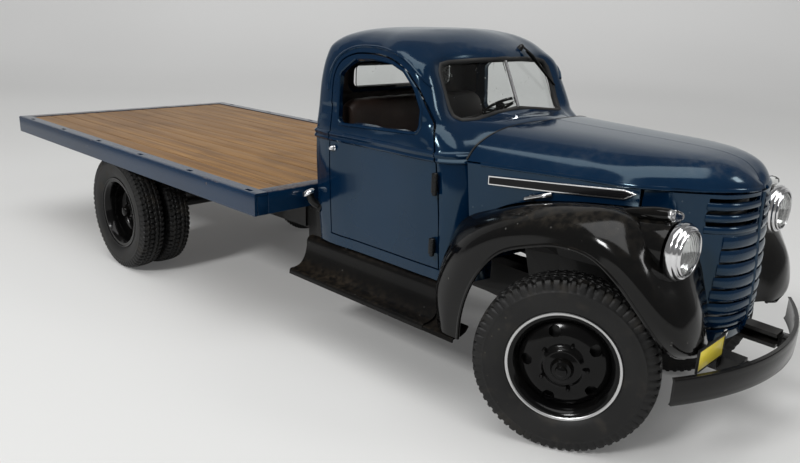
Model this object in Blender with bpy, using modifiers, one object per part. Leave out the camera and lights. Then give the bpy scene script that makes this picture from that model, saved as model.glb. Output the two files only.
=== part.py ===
"""Flatbed truck model at one sixteenth of full size.

The model is built in metres, +X to the front, +Y to the left, +Z up, and stands on Z = 0.
Every X place is measured from the front axle; the empty named truck carries all the pieces
and puts the middle of the truck's length at X = 0.
"""

import bmesh
import bpy
from math import cos, pi, radians, sin, sqrt
from mathutils import Euler, Matrix, Vector

# Running clearance
GAP = 0.0003

# Wheels and axles
AXLE_X = -0.0015
WHEELBASE = 0.2525
TYRE_RADIUS = 0.0298
TYRE_WIDTH = 0.0125
RIM_RADIUS = 0.0180
RIM_HALF_WIDTH = 0.0050
KINGPIN_Y = 0.0380
WHEEL_OFFSET = 0.0025
STEER_ANGLE = radians(25)
TWIN_CENTRE_Y = 0.0580
TWIN_SPACING = 0.0145
TURNED_STEPS = 32
SPINDLE_RADIUS = 0.0015
HUB_BORE_RADIUS = SPINDLE_RADIUS + GAP
HAND_HOLES = 5
STEER_ARM_LENGTH = 0.0140
STEER_ARM_INSET = 0.0065

# Frame
RAIL_TOP = 0.0510
RAIL_DEPTH = 0.0130
RAIL_OUTER_Y = 0.0270
RAIL_WIDTH = 0.0060
RAIL_WALL = 0.0012
HORN_OUTER_Y = 0.0185
HORN_TOP = 0.0392
HORN_DEPTH = 0.0050
HORN_END = 0.0455
RADIATOR_FOOT = 0.0405

# Flat bed
BED_LENGTH = 0.2540
BED_WIDTH = 0.1457
BED_GAP = 0.1251
BED_TOP = 0.0655
BED_SIDE_HEIGHT = 0.0092
BED_FLANGE_WIDTH = 0.0062
BED_WALL = 0.0013
DECK_THICKNESS = 0.0024
DECK_DROP = 0.0004
SILL_PITCH = 0.0360
SILL_WIDTH = 0.0040
POCKET_LENGTH = 0.0040
POCKET_WIDTH = 0.0018
POCKET_COUNT = 6
POCKET_PITCH = 0.0460
CORNER_SET_BACK = 0.00005

# Cab
CAB_REAR = -0.1175
CAB_HALF = 0.0470
CAB_SILL = 0.0440
CAB_ROOF = 0.1305
CAB_BELT = 0.0902
HEAD_HEIGHT = 0.0403
CAB_WALL = 0.0020
DOOR_THICKNESS = 0.0025
DOOR_REAR = -0.1105
DOOR_BOTTOM = 0.0480
DOOR_GAP = 0.0005
DOOR_HINGE_X = -0.0530
DOOR_HINGE_Y = 0.0480
HINGE_RADIUS = 0.0009
COWL_FRONT = -0.0385
SCREEN_BASE_X = -0.0548
SCREEN_BASE_Z = 0.1015
SCREEN_V = 0.16
SCREEN_RAKE = 0.46
SCREEN_HALF = 0.0330
GLASS_THICKNESS = 0.0006
FLOOR_THICKNESS = 0.0020

# Hood, grille and fenders
HOOD_WALL = 0.0010
SHELL_WALL = 0.0012
FENDER_WALL = 0.0012
POD_Y = 0.0375
POD_Z = 0.0744
POD_FRONT = 0.0290
LAMP_RADIUS = 0.0084

# Bumper
FRONT_OVERHANG = 0.0520
BUMPER_END_X = 0.0387
BUMPER_HALF = 0.0475
BUMPER_TOP = 0.0412
BUMPER_HEIGHT = 0.0084
BUMPER_THICKNESS = 0.0016

REAR_AXLE_X = AXLE_X - WHEELBASE
BED_FRONT = -BED_GAP
BED_REAR = BED_FRONT - BED_LENGTH
FRONT_AXLE_X = (FRONT_OVERHANG - BED_REAR) / 2 - FRONT_OVERHANG
RIGHT, LEFT = -1, 1
SIDES = (("right", RIGHT), ("left", LEFT))

# Finishes: base colour, roughness, metallic
FINISHES = {
    "blue paint": ((0.012, 0.040, 0.110), 0.22, 0.0),
    "black paint": ((0.012, 0.012, 0.013), 0.20, 0.0),
    "chassis black": ((0.020, 0.020, 0.021), 0.45, 0.0),
    "rubber": ((0.030, 0.030, 0.031), 0.75, 0.0),
    "chrome": ((0.75, 0.75, 0.76), 0.12, 1.0),
    "wood": ((0.46, 0.29, 0.16), 0.60, 0.0),
    "glass": ((0.80, 0.84, 0.84), 0.05, 0.0),
    "brown vinyl": ((0.090, 0.040, 0.025), 0.60, 0.0),
    "yellow paint": ((0.80, 0.62, 0.05), 0.40, 0.0),
}


def empty_scene():
    for item in list(bpy.data.objects):
        bpy.data.objects.remove(item, do_unlink=True)


def collection(name):
    group = bpy.data.collections.new(name)
    bpy.context.scene.collection.children.link(group)
    return group


empty_scene()
PARTS = collection("flatbed_truck")
CUTTERS = collection("cutters")
TRUCK = bpy.data.objects.new("truck", None)
TRUCK.location = (FRONT_AXLE_X, 0, 0)
PARTS.objects.link(TRUCK)


def material(name, finish):
    colour, roughness, metallic = FINISHES[finish]
    made = bpy.data.materials.new(name)
    made.use_nodes = True
    shader = made.node_tree.nodes["Principled BSDF"]
    shader.inputs["Base Color"].default_value = (*colour, 1)
    shader.inputs["Roughness"].default_value = roughness
    shader.inputs["Metallic"].default_value = metallic
    return made


def new_object(name, mesh, group=PARTS, parent=TRUCK):
    made = bpy.data.objects.new(name, mesh)
    group.objects.link(made)
    made.parent = parent
    return made


def raised(z):
    """A height drawn for a head of HEAD_HEIGHT above the belt, moved to suit the real roof."""
    if z <= CAB_BELT:
        return z
    return CAB_BELT + (z - CAB_BELT) * (CAB_ROOF - CAB_BELT) / HEAD_HEIGHT


def as_part(shape, finish):
    """Give a finished shape its own material."""
    shape.data.materials.append(material(shape.name, finish))
    shape.data.shade_smooth()
    shape.data.set_sharp_from_angle(angle=radians(35))
    return shape


def hinge_at(shape, point):
    """Move the origin to a place on the joint's axis and leave the shape where it is."""
    shape.data.transform(Matrix.Translation(-Vector(point)))
    shape.location = point


def as_cutter(shape):
    for group in list(shape.users_collection):
        group.objects.unlink(shape)
    CUTTERS.objects.link(shape)
    shape.hide_render = True
    shape.display_type = "WIRE"
    return shape


def boolean(target, tool, operation):
    as_cutter(tool)
    step = target.modifiers.new(operation.title(), "BOOLEAN")
    step.operation = operation
    step.solver = "EXACT"
    step.object = tool


def cut(target, tool):
    boolean(target, tool, "DIFFERENCE")


def join(target, tool):
    boolean(target, tool, "UNION")


def keep(target, tool):
    boolean(target, tool, "INTERSECT")


def mesh_from(name, made):
    mesh = bpy.data.meshes.new(name)
    made.to_mesh(mesh)
    made.free()
    return mesh


def block(name, low, high):
    """A box between two corners."""
    low, high = Vector(low), Vector(high)
    made = bmesh.new()
    bmesh.ops.create_cube(made, size=1)
    size = high - low
    bmesh.ops.scale(made, vec=size, verts=made.verts)
    bmesh.ops.translate(made, vec=(low + high) / 2, verts=made.verts)
    return new_object(name, mesh_from(name, made))


def blocks(name, corners):
    """Several boxes as one object."""
    made = bmesh.new()
    for low, high in corners:
        low, high = Vector(low), Vector(high)
        grown_box = bmesh.ops.create_cube(made, size=1)
        bmesh.ops.scale(made, vec=high - low, verts=grown_box["verts"])
        bmesh.ops.translate(made, vec=(low + high) / 2, verts=grown_box["verts"])
    return new_object(name, mesh_from(name, made))


def rod(name, start, end, radius, end_radius=None, segments=16):
    """A round bar between two points."""
    start, end = Vector(start), Vector(end)
    along = end - start
    made = bmesh.new()
    bmesh.ops.create_cone(made, cap_ends=True, segments=segments, radius1=radius,
                          radius2=radius if end_radius is None else end_radius, depth=along.length)
    turn = along.to_track_quat("Z", "Y").to_matrix().to_4x4()
    place = Matrix.Translation((start + end) / 2) @ turn
    bmesh.ops.transform(made, matrix=place, verts=made.verts)
    return new_object(name, mesh_from(name, made))


def ball(name, centre, radius, scale=(1, 1, 1)):
    made = bmesh.new()
    bmesh.ops.create_uvsphere(made, u_segments=16, v_segments=10, radius=radius)
    bmesh.ops.scale(made, vec=scale, verts=made.verts)
    bmesh.ops.translate(made, vec=centre, verts=made.verts)
    return new_object(name, mesh_from(name, made))


def prism(name, outline, axis, low, high):
    """A flat outline pushed along an axis. The outline's pairs are the other two axes in order."""
    made = bmesh.new()
    place = {
        "X": lambda a, b: (low, a, b),
        "Y": lambda a, b: (a, low, b),
        "Z": lambda a, b: (a, b, low),
    }[axis]
    face = made.faces.new([made.verts.new(place(a, b)) for a, b in outline])
    grown = bmesh.ops.extrude_face_region(made, geom=[face])
    moved = [item for item in grown["geom"] if isinstance(item, bmesh.types.BMVert)]
    push = Vector([high - low if letter == axis else 0 for letter in "XYZ"])
    bmesh.ops.translate(made, vec=push, verts=moved)
    bmesh.ops.recalc_face_normals(made, faces=made.faces)
    return new_object(name, mesh_from(name, made))


def rounded(corners, radius, steps=4):
    """The outline with each corner replaced by an arc."""
    points = []
    count = len(corners)
    for index, corner in enumerate(corners):
        here = Vector(corner)
        before = (Vector(corners[index - 1]) - here).normalized()
        after = (Vector(corners[(index + 1) % count]) - here).normalized()
        half = before.angle(after) / 2
        back = radius / abs(sin(half) / cos(half))
        first, last = here + before * back, here + after * back
        centre = here + (before + after).normalized() * (radius / sin(half))
        for step in range(steps + 1):
            blend = first.lerp(last, step / steps) - centre
            points.append(tuple(centre + blend.normalized() * radius))
    return points


def grown(outline, amount):
    """The outline moved out (or in, if negative) along its corners' bisectors."""
    points = [Vector(point) for point in outline]
    area = sum(a.x * b.y - b.x * a.y for a, b in zip(points, points[1:] + points[:1]))
    turn = 1 if area > 0 else -1
    moved = []
    for index, here in enumerate(points):
        before = (here - points[index - 1]).normalized()
        after = (points[(index + 1) % len(points)] - here).normalized()
        normal = (Vector((before.y, -before.x)) + Vector((after.y, -after.x))) * turn
        normal.normalize()
        share = max(normal.dot(Vector((after.y, -after.x)) * turn), 0.4)
        moved.append(tuple(here + normal * amount / share))
    return moved


def loft(name, sections, closed_ring=True, caps=True, flip=False):
    """Quads between like sections. A ring section closes on itself; caps close the two ends."""
    made = bmesh.new()
    rows = [[made.verts.new(point) for point in section] for section in sections]
    count = len(rows[0])
    for lower, upper in zip(rows, rows[1:]):
        for index in range(count if closed_ring else count - 1):
            following = (index + 1) % count
            made.faces.new((lower[index], lower[following], upper[following], upper[index]))
    if closed_ring and caps:
        made.faces.new(rows[0])
        made.faces.new(rows[-1])
    bmesh.ops.remove_doubles(made, verts=made.verts, dist=0.00002)
    bmesh.ops.recalc_face_normals(made, faces=made.faces)
    if flip:
        bmesh.ops.reverse_faces(made, faces=made.faces)
    return new_object(name, mesh_from(name, made))


def shell(shape, thickness, offset=-1.0):
    step = shape.modifiers.new("Wall", "SOLIDIFY")
    step.thickness = thickness
    step.offset = offset
    step.use_even_offset = True
    return shape


def turned(name, profile, place, rotation=(0, 0, 0), ring=False, steps=TURNED_STEPS):
    """A profile of radius and height pairs, top to bottom, turned round Z."""
    made = bmesh.new()
    points = [made.verts.new((radius, 0, height)) for radius, height in profile]
    for first, second in zip(points, points[1:]):
        made.edges.new((first, second))
    if ring:
        made.edges.new((points[-1], points[0]))
    shape = new_object(name, mesh_from(name, made))
    step = shape.modifiers.new("Turn", "SCREW")
    step.axis = "Z"
    step.angle = 2 * pi
    step.steps = steps
    step.render_steps = steps
    step.use_merge_vertices = True
    step.merge_threshold = 0.00001
    step.use_smooth_shade = True
    shape.location = place
    shape.rotation_euler = rotation
    return shape


def bevel(shape, width, segments=2):
    step = shape.modifiers.new("Edge", "BEVEL")
    step.width = width
    step.segments = segments
    step.limit_method = "ANGLE"
    step.angle_limit = radians(40)
    return shape


# Wheels

def tyre_profile():
    bead = RIM_RADIUS + GAP
    half = TYRE_WIDTH / 2
    side = [(bead, 0.78), (bead + 0.0020, 0.96), (TYRE_RADIUS - 0.0050, 1.0),
            (TYRE_RADIUS - 0.0018, 0.90), (TYRE_RADIUS, 0.70)]
    top = [(radius, half * share) for radius, share in side]
    return top + [(radius, -height) for radius, height in reversed(top)]


def front_wheel_profile():
    lip = RIM_HALF_WIDTH
    barrel = RIM_RADIUS - 0.0022
    return [
        (0, 0.0088), (0.0022, 0.0082), (0.0028, 0.0064), (0.0054, 0.0058), (0.0058, 0.0036),
        (0.0105, 0.0040), (0.0138, 0.0022), (barrel, 0.0030), (barrel + 0.0008, lip),
        (RIM_RADIUS, lip - 0.0003), (RIM_RADIUS, -lip), (barrel + 0.0002, -lip),
        (barrel - 0.0004, 0.0006), (0.0125, 0.0004), (0.0098, 0.0022), (0.0050, 0.0008),
        (HUB_BORE_RADIUS, 0.0008), (HUB_BORE_RADIUS, 0.0056), (0, 0.0056),
    ]


def rear_wheel_profile():
    outer = TWIN_SPACING / 2 + RIM_HALF_WIDTH
    barrel = RIM_RADIUS - 0.0022
    return [
        (0, 0.0100), (0.0026, 0.0094), (0.0030, 0.0064), (0.0050, 0.0060), (0.0052, 0.0016),
        (0.0128, 0.0012), (0.0146, 0.0024), (barrel, outer - 0.0016), (barrel + 0.0010, outer),
        (RIM_RADIUS, outer - 0.0003), (RIM_RADIUS, 0.0022), (0.0166, 0), (RIM_RADIUS, -0.0022),
        (RIM_RADIUS, -outer), (barrel + 0.0002, -outer), (0.0146, -0.0024), (0.0128, -0.0012),
        (0.0070, -0.0012), (0.0066, -0.0095),
        (HUB_BORE_RADIUS, -0.0095), (HUB_BORE_RADIUS, 0.0040), (0, 0.0040),
    ]


def hand_holes(name, centre, facing, circle, radius):
    """Cutters for a ring of round holes through a wheel."""
    turn = Euler(facing).to_matrix()
    holes = None
    for step in range(HAND_HOLES):
        angle = 2 * pi * (step + 0.5) / HAND_HOLES
        place = Vector((circle * cos(angle), circle * sin(angle), 0))
        ends = [Vector(centre) + turn @ (place + Vector((0, 0, height))) for height in (-0.0060, 0.0060)]
        hole = rod(f"{name}_{step}", *ends, radius, segments=12)
        if holes:
            join(holes, hole)
        else:
            holes = hole
    return holes


def wheels():
    for word, side in SIDES:
        facing = (-side * pi / 2, 0, STEER_ANGLE)
        place = steered((AXLE_X, side * (KINGPIN_Y + WHEEL_OFFSET), TYRE_RADIUS), side)
        tyre = turned(f"front_tyre_{word}", tyre_profile(), place, facing, ring=True)
        as_part(tyre, "rubber")
        wheel = turned(f"front_wheel_{word}", front_wheel_profile(), place, facing, steps=30)
        cut(wheel, hand_holes("front_hole_" + word, place, facing, 0.0118, 0.0018))
        as_part(wheel, "black paint")
        rear_facing = (-side * pi / 2, 0, 0)
        rear = (REAR_AXLE_X, side * TWIN_CENTRE_Y, TYRE_RADIUS)
        rear_wheel = turned(f"rear_wheel_{word}", rear_wheel_profile(), rear, rear_facing,
                            steps=30)
        cut(rear_wheel, hand_holes("rear_hole_" + word, rear, rear_facing, 0.0098, 0.0016))
        as_part(rear_wheel, "black paint")
        for place_word, shift in (("outer", TWIN_SPACING / 2), ("inner", -TWIN_SPACING / 2)):
            centre = (REAR_AXLE_X, side * (TWIN_CENTRE_Y + shift), TYRE_RADIUS)
            tyre = turned(f"rear_tyre_{word}_{place_word}", tyre_profile(), centre, rear_facing,
                          ring=True)
            as_part(tyre, "rubber")


# Axles and steering

def steered(point, side):
    """A place given for straight wheels, turned with the knuckle about its kingpin."""
    pin = Vector((AXLE_X, side * KINGPIN_Y, 0))
    return pin + Matrix.Rotation(STEER_ANGLE, 3, "Z") @ (Vector(point) - pin)


KNUCKLE_HALF = 0.0042
BOSS_RADIUS = 0.0020
ARM_Z = 0.0275
ARM_THICKNESS = 0.0020
EYE_RADIUS = 0.0018


def knuckles():
    """A boss on each kingpin with the wheel's spindle and a steering arm that reaches back."""
    for word, side in SIDES:
        pin_y = side * KINGPIN_Y
        body = rod(f"knuckle_{word}", (AXLE_X, pin_y, TYRE_RADIUS - KNUCKLE_HALF),
                   (AXLE_X, pin_y, TYRE_RADIUS + KNUCKLE_HALF), BOSS_RADIUS)
        reach = WHEEL_OFFSET + 0.0056 - GAP
        spindle_end = steered((AXLE_X, pin_y + side * reach, TYRE_RADIUS), side)
        join(body, rod("spindle_" + word, (AXLE_X, pin_y, TYRE_RADIUS), spindle_end, SPINDLE_RADIUS))
        elbow = steered((AXLE_X - 0.0065, pin_y, ARM_Z), side)
        tip = steered((AXLE_X - STEER_ARM_LENGTH, pin_y - side * STEER_ARM_INSET, ARM_Z), side)
        start = Vector((AXLE_X, pin_y, ARM_Z))
        join(body, rod("arm_root_" + word, start, elbow, ARM_THICKNESS / 2, segments=10))
        join(body, ball("arm_elbow_" + word, elbow, ARM_THICKNESS / 2 + 0.0001))
        join(body, rod("arm_" + word, elbow, tip, ARM_THICKNESS / 2, segments=10))
        up = Vector((0, 0, ARM_THICKNESS / 2 + 0.0002))
        join(body, rod("arm_eye_" + word, tip - up, tip + up, EYE_RADIUS))
        hinge_at(body, (AXLE_X, pin_y, TYRE_RADIUS))
        as_part(body, "chassis black")


def tie_rod():
    """The track rod, whose eyes lie just under the eyes of the steering arms."""
    drop = Vector((0, 0, ARM_THICKNESS + 0.0004 + GAP))
    ends = [steered((AXLE_X - STEER_ARM_LENGTH, side * (KINGPIN_Y - STEER_ARM_INSET), ARM_Z), side)
            - drop for _, side in SIDES]
    bar = rod("tie_rod", ends[0], ends[1], 0.0009, segments=10)
    up = Vector((0, 0, ARM_THICKNESS / 2))
    for end, (word, _) in zip(ends, SIDES):
        join(bar, rod("tie_rod_eye_" + word, end - up, end + up, EYE_RADIUS))
    hinge_at(bar, ends[0])
    as_part(bar, "chassis black")


AXLE_SIZE = 0.0040
AXLE_DROP = 0.0040
FORK_THICKNESS = 0.0016
SPRING_Y = HORN_OUTER_Y - RAIL_WIDTH / 2


def front_axle():
    """A dropped beam with a forked end round each kingpin boss, and the leaf springs on it."""
    half = AXLE_SIZE / 2
    fork = KNUCKLE_HALF + GAP
    web_y = KINGPIN_Y - BOSS_RADIUS - 4 * GAP
    sections = []
    # Columns: place across, height of the beam's middle above the wheel centre
    for y, height in ((-web_y + 0.0004, 0), (-0.0250, 0), (-0.0210, -AXLE_DROP),
                      (0.0210, -AXLE_DROP), (0.0250, 0), (web_y - 0.0004, 0)):
        z = TYRE_RADIUS + height
        sections.append([(AXLE_X - half, y, z - half), (AXLE_X + half, y, z - half),
                         (AXLE_X + half, y, z + half), (AXLE_X - half, y, z + half)])
    beam = loft("front_axle", sections)
    slim = half - 0.0002
    for word, side in SIDES:
        web = sorted((side * (web_y - 0.0016), side * web_y))
        lug = sorted((side * (web_y - 0.0010), side * (KINGPIN_Y + 0.0016)))
        join(beam, block("fork_web_" + word, (AXLE_X - slim, web[0], TYRE_RADIUS - fork - FORK_THICKNESS),
                         (AXLE_X + slim, web[1], TYRE_RADIUS + fork + FORK_THICKNESS)))
        for name, low, high in (("top", fork, fork + FORK_THICKNESS - 0.0001),
                                ("foot", -fork - FORK_THICKNESS + 0.0001, -fork)):
            join(beam, block(f"fork_{name}_{word}", (AXLE_X - slim + 0.0001, lug[0], TYRE_RADIUS + low),
                             (AXLE_X + slim - 0.0001, lug[1], TYRE_RADIUS + high)))
        join(beam, leaf_spring("front_spring_" + word, AXLE_X, side * SPRING_Y, 0.0250,
                               TYRE_RADIUS - AXLE_DROP + half - 0.0004, rail_underside))
    as_part(beam, "chassis black")


def rail_underside(x):
    """Height of the underside of the frame at a place along it."""
    # Columns: place along, height of the underside
    stops = [(BED_REAR, RAIL_TOP - RAIL_DEPTH), (-0.0620, RAIL_TOP - RAIL_DEPTH),
             (-0.0300, 0.0370), (0.0200, 0.0350), (0.0480, HORN_TOP - HORN_DEPTH)]
    for (x0, z0), (x1, z1) in zip(stops, stops[1:]):
        if x <= x1:
            return z0 + (z1 - z0) * (x - x0) / (x1 - x0)
    return stops[-1][1]


SPRING_WIDTH = 0.0036
LEAF_THICKNESS = 0.0009
REAR_SPRING_REACH = 0.0360
HANGER_GAP = 0.0006
HANGER_FOOT = 0.0405


def leaf_spring(name, centre_x, y, reach, seat, underside):
    """A pack of leaves bent up to the frame at both ends, as one solid."""
    half = SPRING_WIDTH / 2
    outline_top, outline_low = [], []
    steps = 8
    for step in range(steps + 1):
        share = -1 + 2 * step / steps
        x = centre_x + reach * share
        rise = underside(centre_x + reach * (1 if share > 0 else -1)) - GAP - seat
        top = seat + LEAF_THICKNESS * 3 + (rise - LEAF_THICKNESS * 3) * share * share
        outline_top.append((x, top))
        outline_low.append((x, top - LEAF_THICKNESS * (3 - 2 * abs(share))))
    outline = outline_low + outline_top[::-1]
    return prism(name, outline, "Y", y - half, y + half)


def rear_axle():
    """A banjo housing with a spindle at each end and its leaf springs."""
    hub_face = TWIN_CENTRE_Y - 0.0095 - GAP
    spindle_end = TWIN_CENTRE_Y + 0.0040 - GAP
    beam = rod("rear_axle", (REAR_AXLE_X, -hub_face, TYRE_RADIUS), (REAR_AXLE_X, hub_face, TYRE_RADIUS),
               0.0026)
    join(beam, rod("rear_spindles", (REAR_AXLE_X, -spindle_end, TYRE_RADIUS),
                   (REAR_AXLE_X, spindle_end, TYRE_RADIUS), SPINDLE_RADIUS))
    join(beam, ball("differential", (REAR_AXLE_X, 0, TYRE_RADIUS), 0.0080, (0.85, 0.8, 1)))
    for word, side in SIDES:
        y = side * (RAIL_OUTER_Y + HANGER_GAP + SPRING_WIDTH / 2)
        seat = TYRE_RADIUS + 0.0020
        join(beam, leaf_spring("rear_spring_" + word, REAR_AXLE_X, y, REAR_SPRING_REACH, seat,
                               lambda x: HANGER_FOOT))
    as_part(beam, "chassis black")


# Frame

BODY_PLATE_X = -0.1560
BODY_PLATE_LENGTH = 0.0120
BODY_PLATE_FOOT = 0.0386
BODY_PLATE_THICKNESS = 0.0010


def frame():
    """Two channel rails, drawn in towards the front, and the cross members between them."""
    for word, side in SIDES:
        sections = []
        # Columns: place along, top, inset of the rail from its rear line
        inset = RAIL_OUTER_Y - HORN_OUTER_Y
        for x, top, draw in ((BED_REAR + 0.006, RAIL_TOP, 0), (-0.0620, RAIL_TOP, 0),
                             (-0.0300, 0.0460, inset), (0.0200, 0.0405, inset),
                             (HORN_END, HORN_TOP, inset)):
            outer = side * (RAIL_OUTER_Y - draw)
            inner = side * (RAIL_OUTER_Y - draw - RAIL_WIDTH)
            web = side * (RAIL_OUTER_Y - draw - RAIL_WALL)
            low = rail_underside(x)
            sections.append([(x, outer, low), (x, outer, top), (x, inner, top),
                             (x, inner, top - RAIL_WALL), (x, web, top - RAIL_WALL),
                             (x, web, low + RAIL_WALL), (x, inner, low + RAIL_WALL),
                             (x, inner, low)])
        rail = loft(f"frame_rail_{word}", sections)
        edges = sorted((side * (RAIL_OUTER_Y - RAIL_WALL / 2),
                        side * (RAIL_OUTER_Y + HANGER_GAP + SPRING_WIDTH)))
        for end, direction in (("front", 1), ("rear", -1)):
            x = REAR_AXLE_X + direction * (REAR_SPRING_REACH - 0.0020)
            join(rail, block(f"hanger_{word}_{end}", (x - 0.0030, edges[0], HANGER_FOOT),
                             (x + 0.0030, edges[1], HANGER_FOOT + 0.0055)))
        face = sorted((side * (RAIL_OUTER_Y - RAIL_WALL / 2), side * (RAIL_OUTER_Y + BODY_PLATE_THICKNESS)))
        join(rail, block("body_plate_" + word, (BODY_PLATE_X - BODY_PLATE_LENGTH / 2, face[0], BODY_PLATE_FOOT),
                         (BODY_PLATE_X + BODY_PLATE_LENGTH / 2, face[1], RAIL_TOP - GAP)))
        as_part(rail, "chassis black")
    inside = RAIL_OUTER_Y - RAIL_WIDTH - GAP
    # Columns: name, place along, half length
    for name, x, half in (("frame_crossmember_rear", BED_REAR + 0.0120, inside),
                          ("frame_crossmember_middle", -0.1700, inside),
                          ("frame_crossmember_cab", -0.0950, inside)):
        as_part(block(name, (x - 0.003, -half, RAIL_TOP - 0.0095), (x + 0.003, half, RAIL_TOP - 0.0020)),
                "chassis black")


def front_crossmember():
    """Carries the radiator between the front ends of the rails."""
    half = HORN_OUTER_Y - RAIL_WIDTH - GAP
    as_part(block("frame_crossmember_front", (0.0145, -half, RADIATOR_FOOT - 0.0040),
                  (0.0215, half, RADIATOR_FOOT)), "chassis black")


def bumper_x(y, depth=0.0):
    bow = FRONT_OVERHANG - BUMPER_END_X
    return FRONT_OVERHANG - bow * (y / BUMPER_HALF) ** 2 - depth


def bumper():
    low = BUMPER_TOP - BUMPER_HEIGHT
    sections = []
    steps = 12
    for step in range(steps + 1):
        y = -BUMPER_HALF + 2 * BUMPER_HALF * step / steps
        front, back = bumper_x(y), bumper_x(y, BUMPER_THICKNESS)
        sections.append([(back, y, low), (front, y, low), (front, y, BUMPER_TOP),
                         (back, y, BUMPER_TOP)])
    bar = loft("front_bumper", sections)
    middle = HORN_OUTER_Y - RAIL_WIDTH / 2
    for word, side in SIDES:
        y = side * middle
        join(bar, block("bumper_bracket_" + word, (HORN_END + GAP, y - 0.0022, HORN_TOP - HORN_DEPTH + 0.0004),
                        (bumper_x(middle) - BUMPER_THICKNESS / 2, y + 0.0022, HORN_TOP - 0.0004)))
    as_part(bar, "black paint")


def number_plate():
    """A blank plate beside the right frame horn, held on the horn by a tab."""
    plate = block("number_plate", (0.0396, -0.0375, 0.0400), (0.0404, -0.0192, 0.0474))
    join(plate, block("plate_tab", (0.0380, -0.0215, 0.0360), (0.0397, -HORN_OUTER_Y - GAP, 0.0415)))
    as_part(plate, "yellow paint")


PIPE_Y = -0.0150
PIPE_Z = 0.0345


def exhaust():
    """A pipe from the engine's right side, a muffler and a tail pipe, hung from two cross members."""
    start = Vector((-0.0630, -0.0105 - GAP - 0.0013, PIPE_Z))
    bend = Vector((-0.0820, PIPE_Y, PIPE_Z))
    pipe = rod("exhaust", start, bend, 0.0013, segments=12)
    join(pipe, ball("exhaust_bend", bend, 0.0016))
    end = Vector((-0.2200, PIPE_Y, PIPE_Z))
    join(pipe, rod("tail_pipe", bend, end, 0.0012, segments=12))
    join(pipe, rod("muffler", (-0.1080, PIPE_Y, PIPE_Z), (-0.1500, PIPE_Y, PIPE_Z), 0.0040))
    for index, x in enumerate((-0.0950, -0.1700)):
        join(pipe, block(f"exhaust_hanger_{index}", (x - 0.0015, PIPE_Y - 0.0006, PIPE_Z),
                         (x + 0.0015, PIPE_Y + 0.0006, RAIL_TOP - 0.0095 - GAP)))
    as_part(pipe, "chassis black")


def drive_line():
    as_part(rod("drive_shaft", (-0.0960, 0, 0.0380), (REAR_AXLE_X + 0.0072, 0, TYRE_RADIUS), 0.0016),
            "chassis black")
    outline = [(-0.0950, 0.0310), (-0.0560, 0.0300), (-0.0460, 0.0250 + 0.004),
               (-0.0360, 0.0325), (0.0060, 0.0325), (0.0100, 0.0420), (0.0100, 0.0740),
               (-0.0360, 0.0780), (-0.0370, 0.0405), (-0.0950, 0.0405)]
    engine = prism("engine", outline, "Y", -0.0105, 0.0105)
    as_part(engine, "chassis black")
    core = block("radiator", (0.0150, -0.0160, 0.0420), (0.0210, 0.0160, 0.0830))
    join(core, block("radiator_tank", (0.0152, -0.0190, 0.0580), (0.0208, 0.0190, 0.0828)))
    join(core, block("radiator_foot", (0.0155, -0.0118, RADIATOR_FOOT + GAP), (0.0205, 0.0118, 0.0430)))
    as_part(core, "chassis black")


# Flat bed

def bed_rail_section(side, outer, x):
    """Channel-less side: an upright wall with a flange turned in at the top."""
    wall = side * (outer - BED_WALL)
    inner = side * (outer - BED_FLANGE_WIDTH)
    low = BED_TOP - BED_SIDE_HEIGHT
    return [(x, side * outer, low), (x, side * outer, BED_TOP), (x, inner, BED_TOP),
            (x, inner, BED_TOP - BED_WALL), (x, wall, BED_TOP - BED_WALL), (x, wall, low)]


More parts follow.
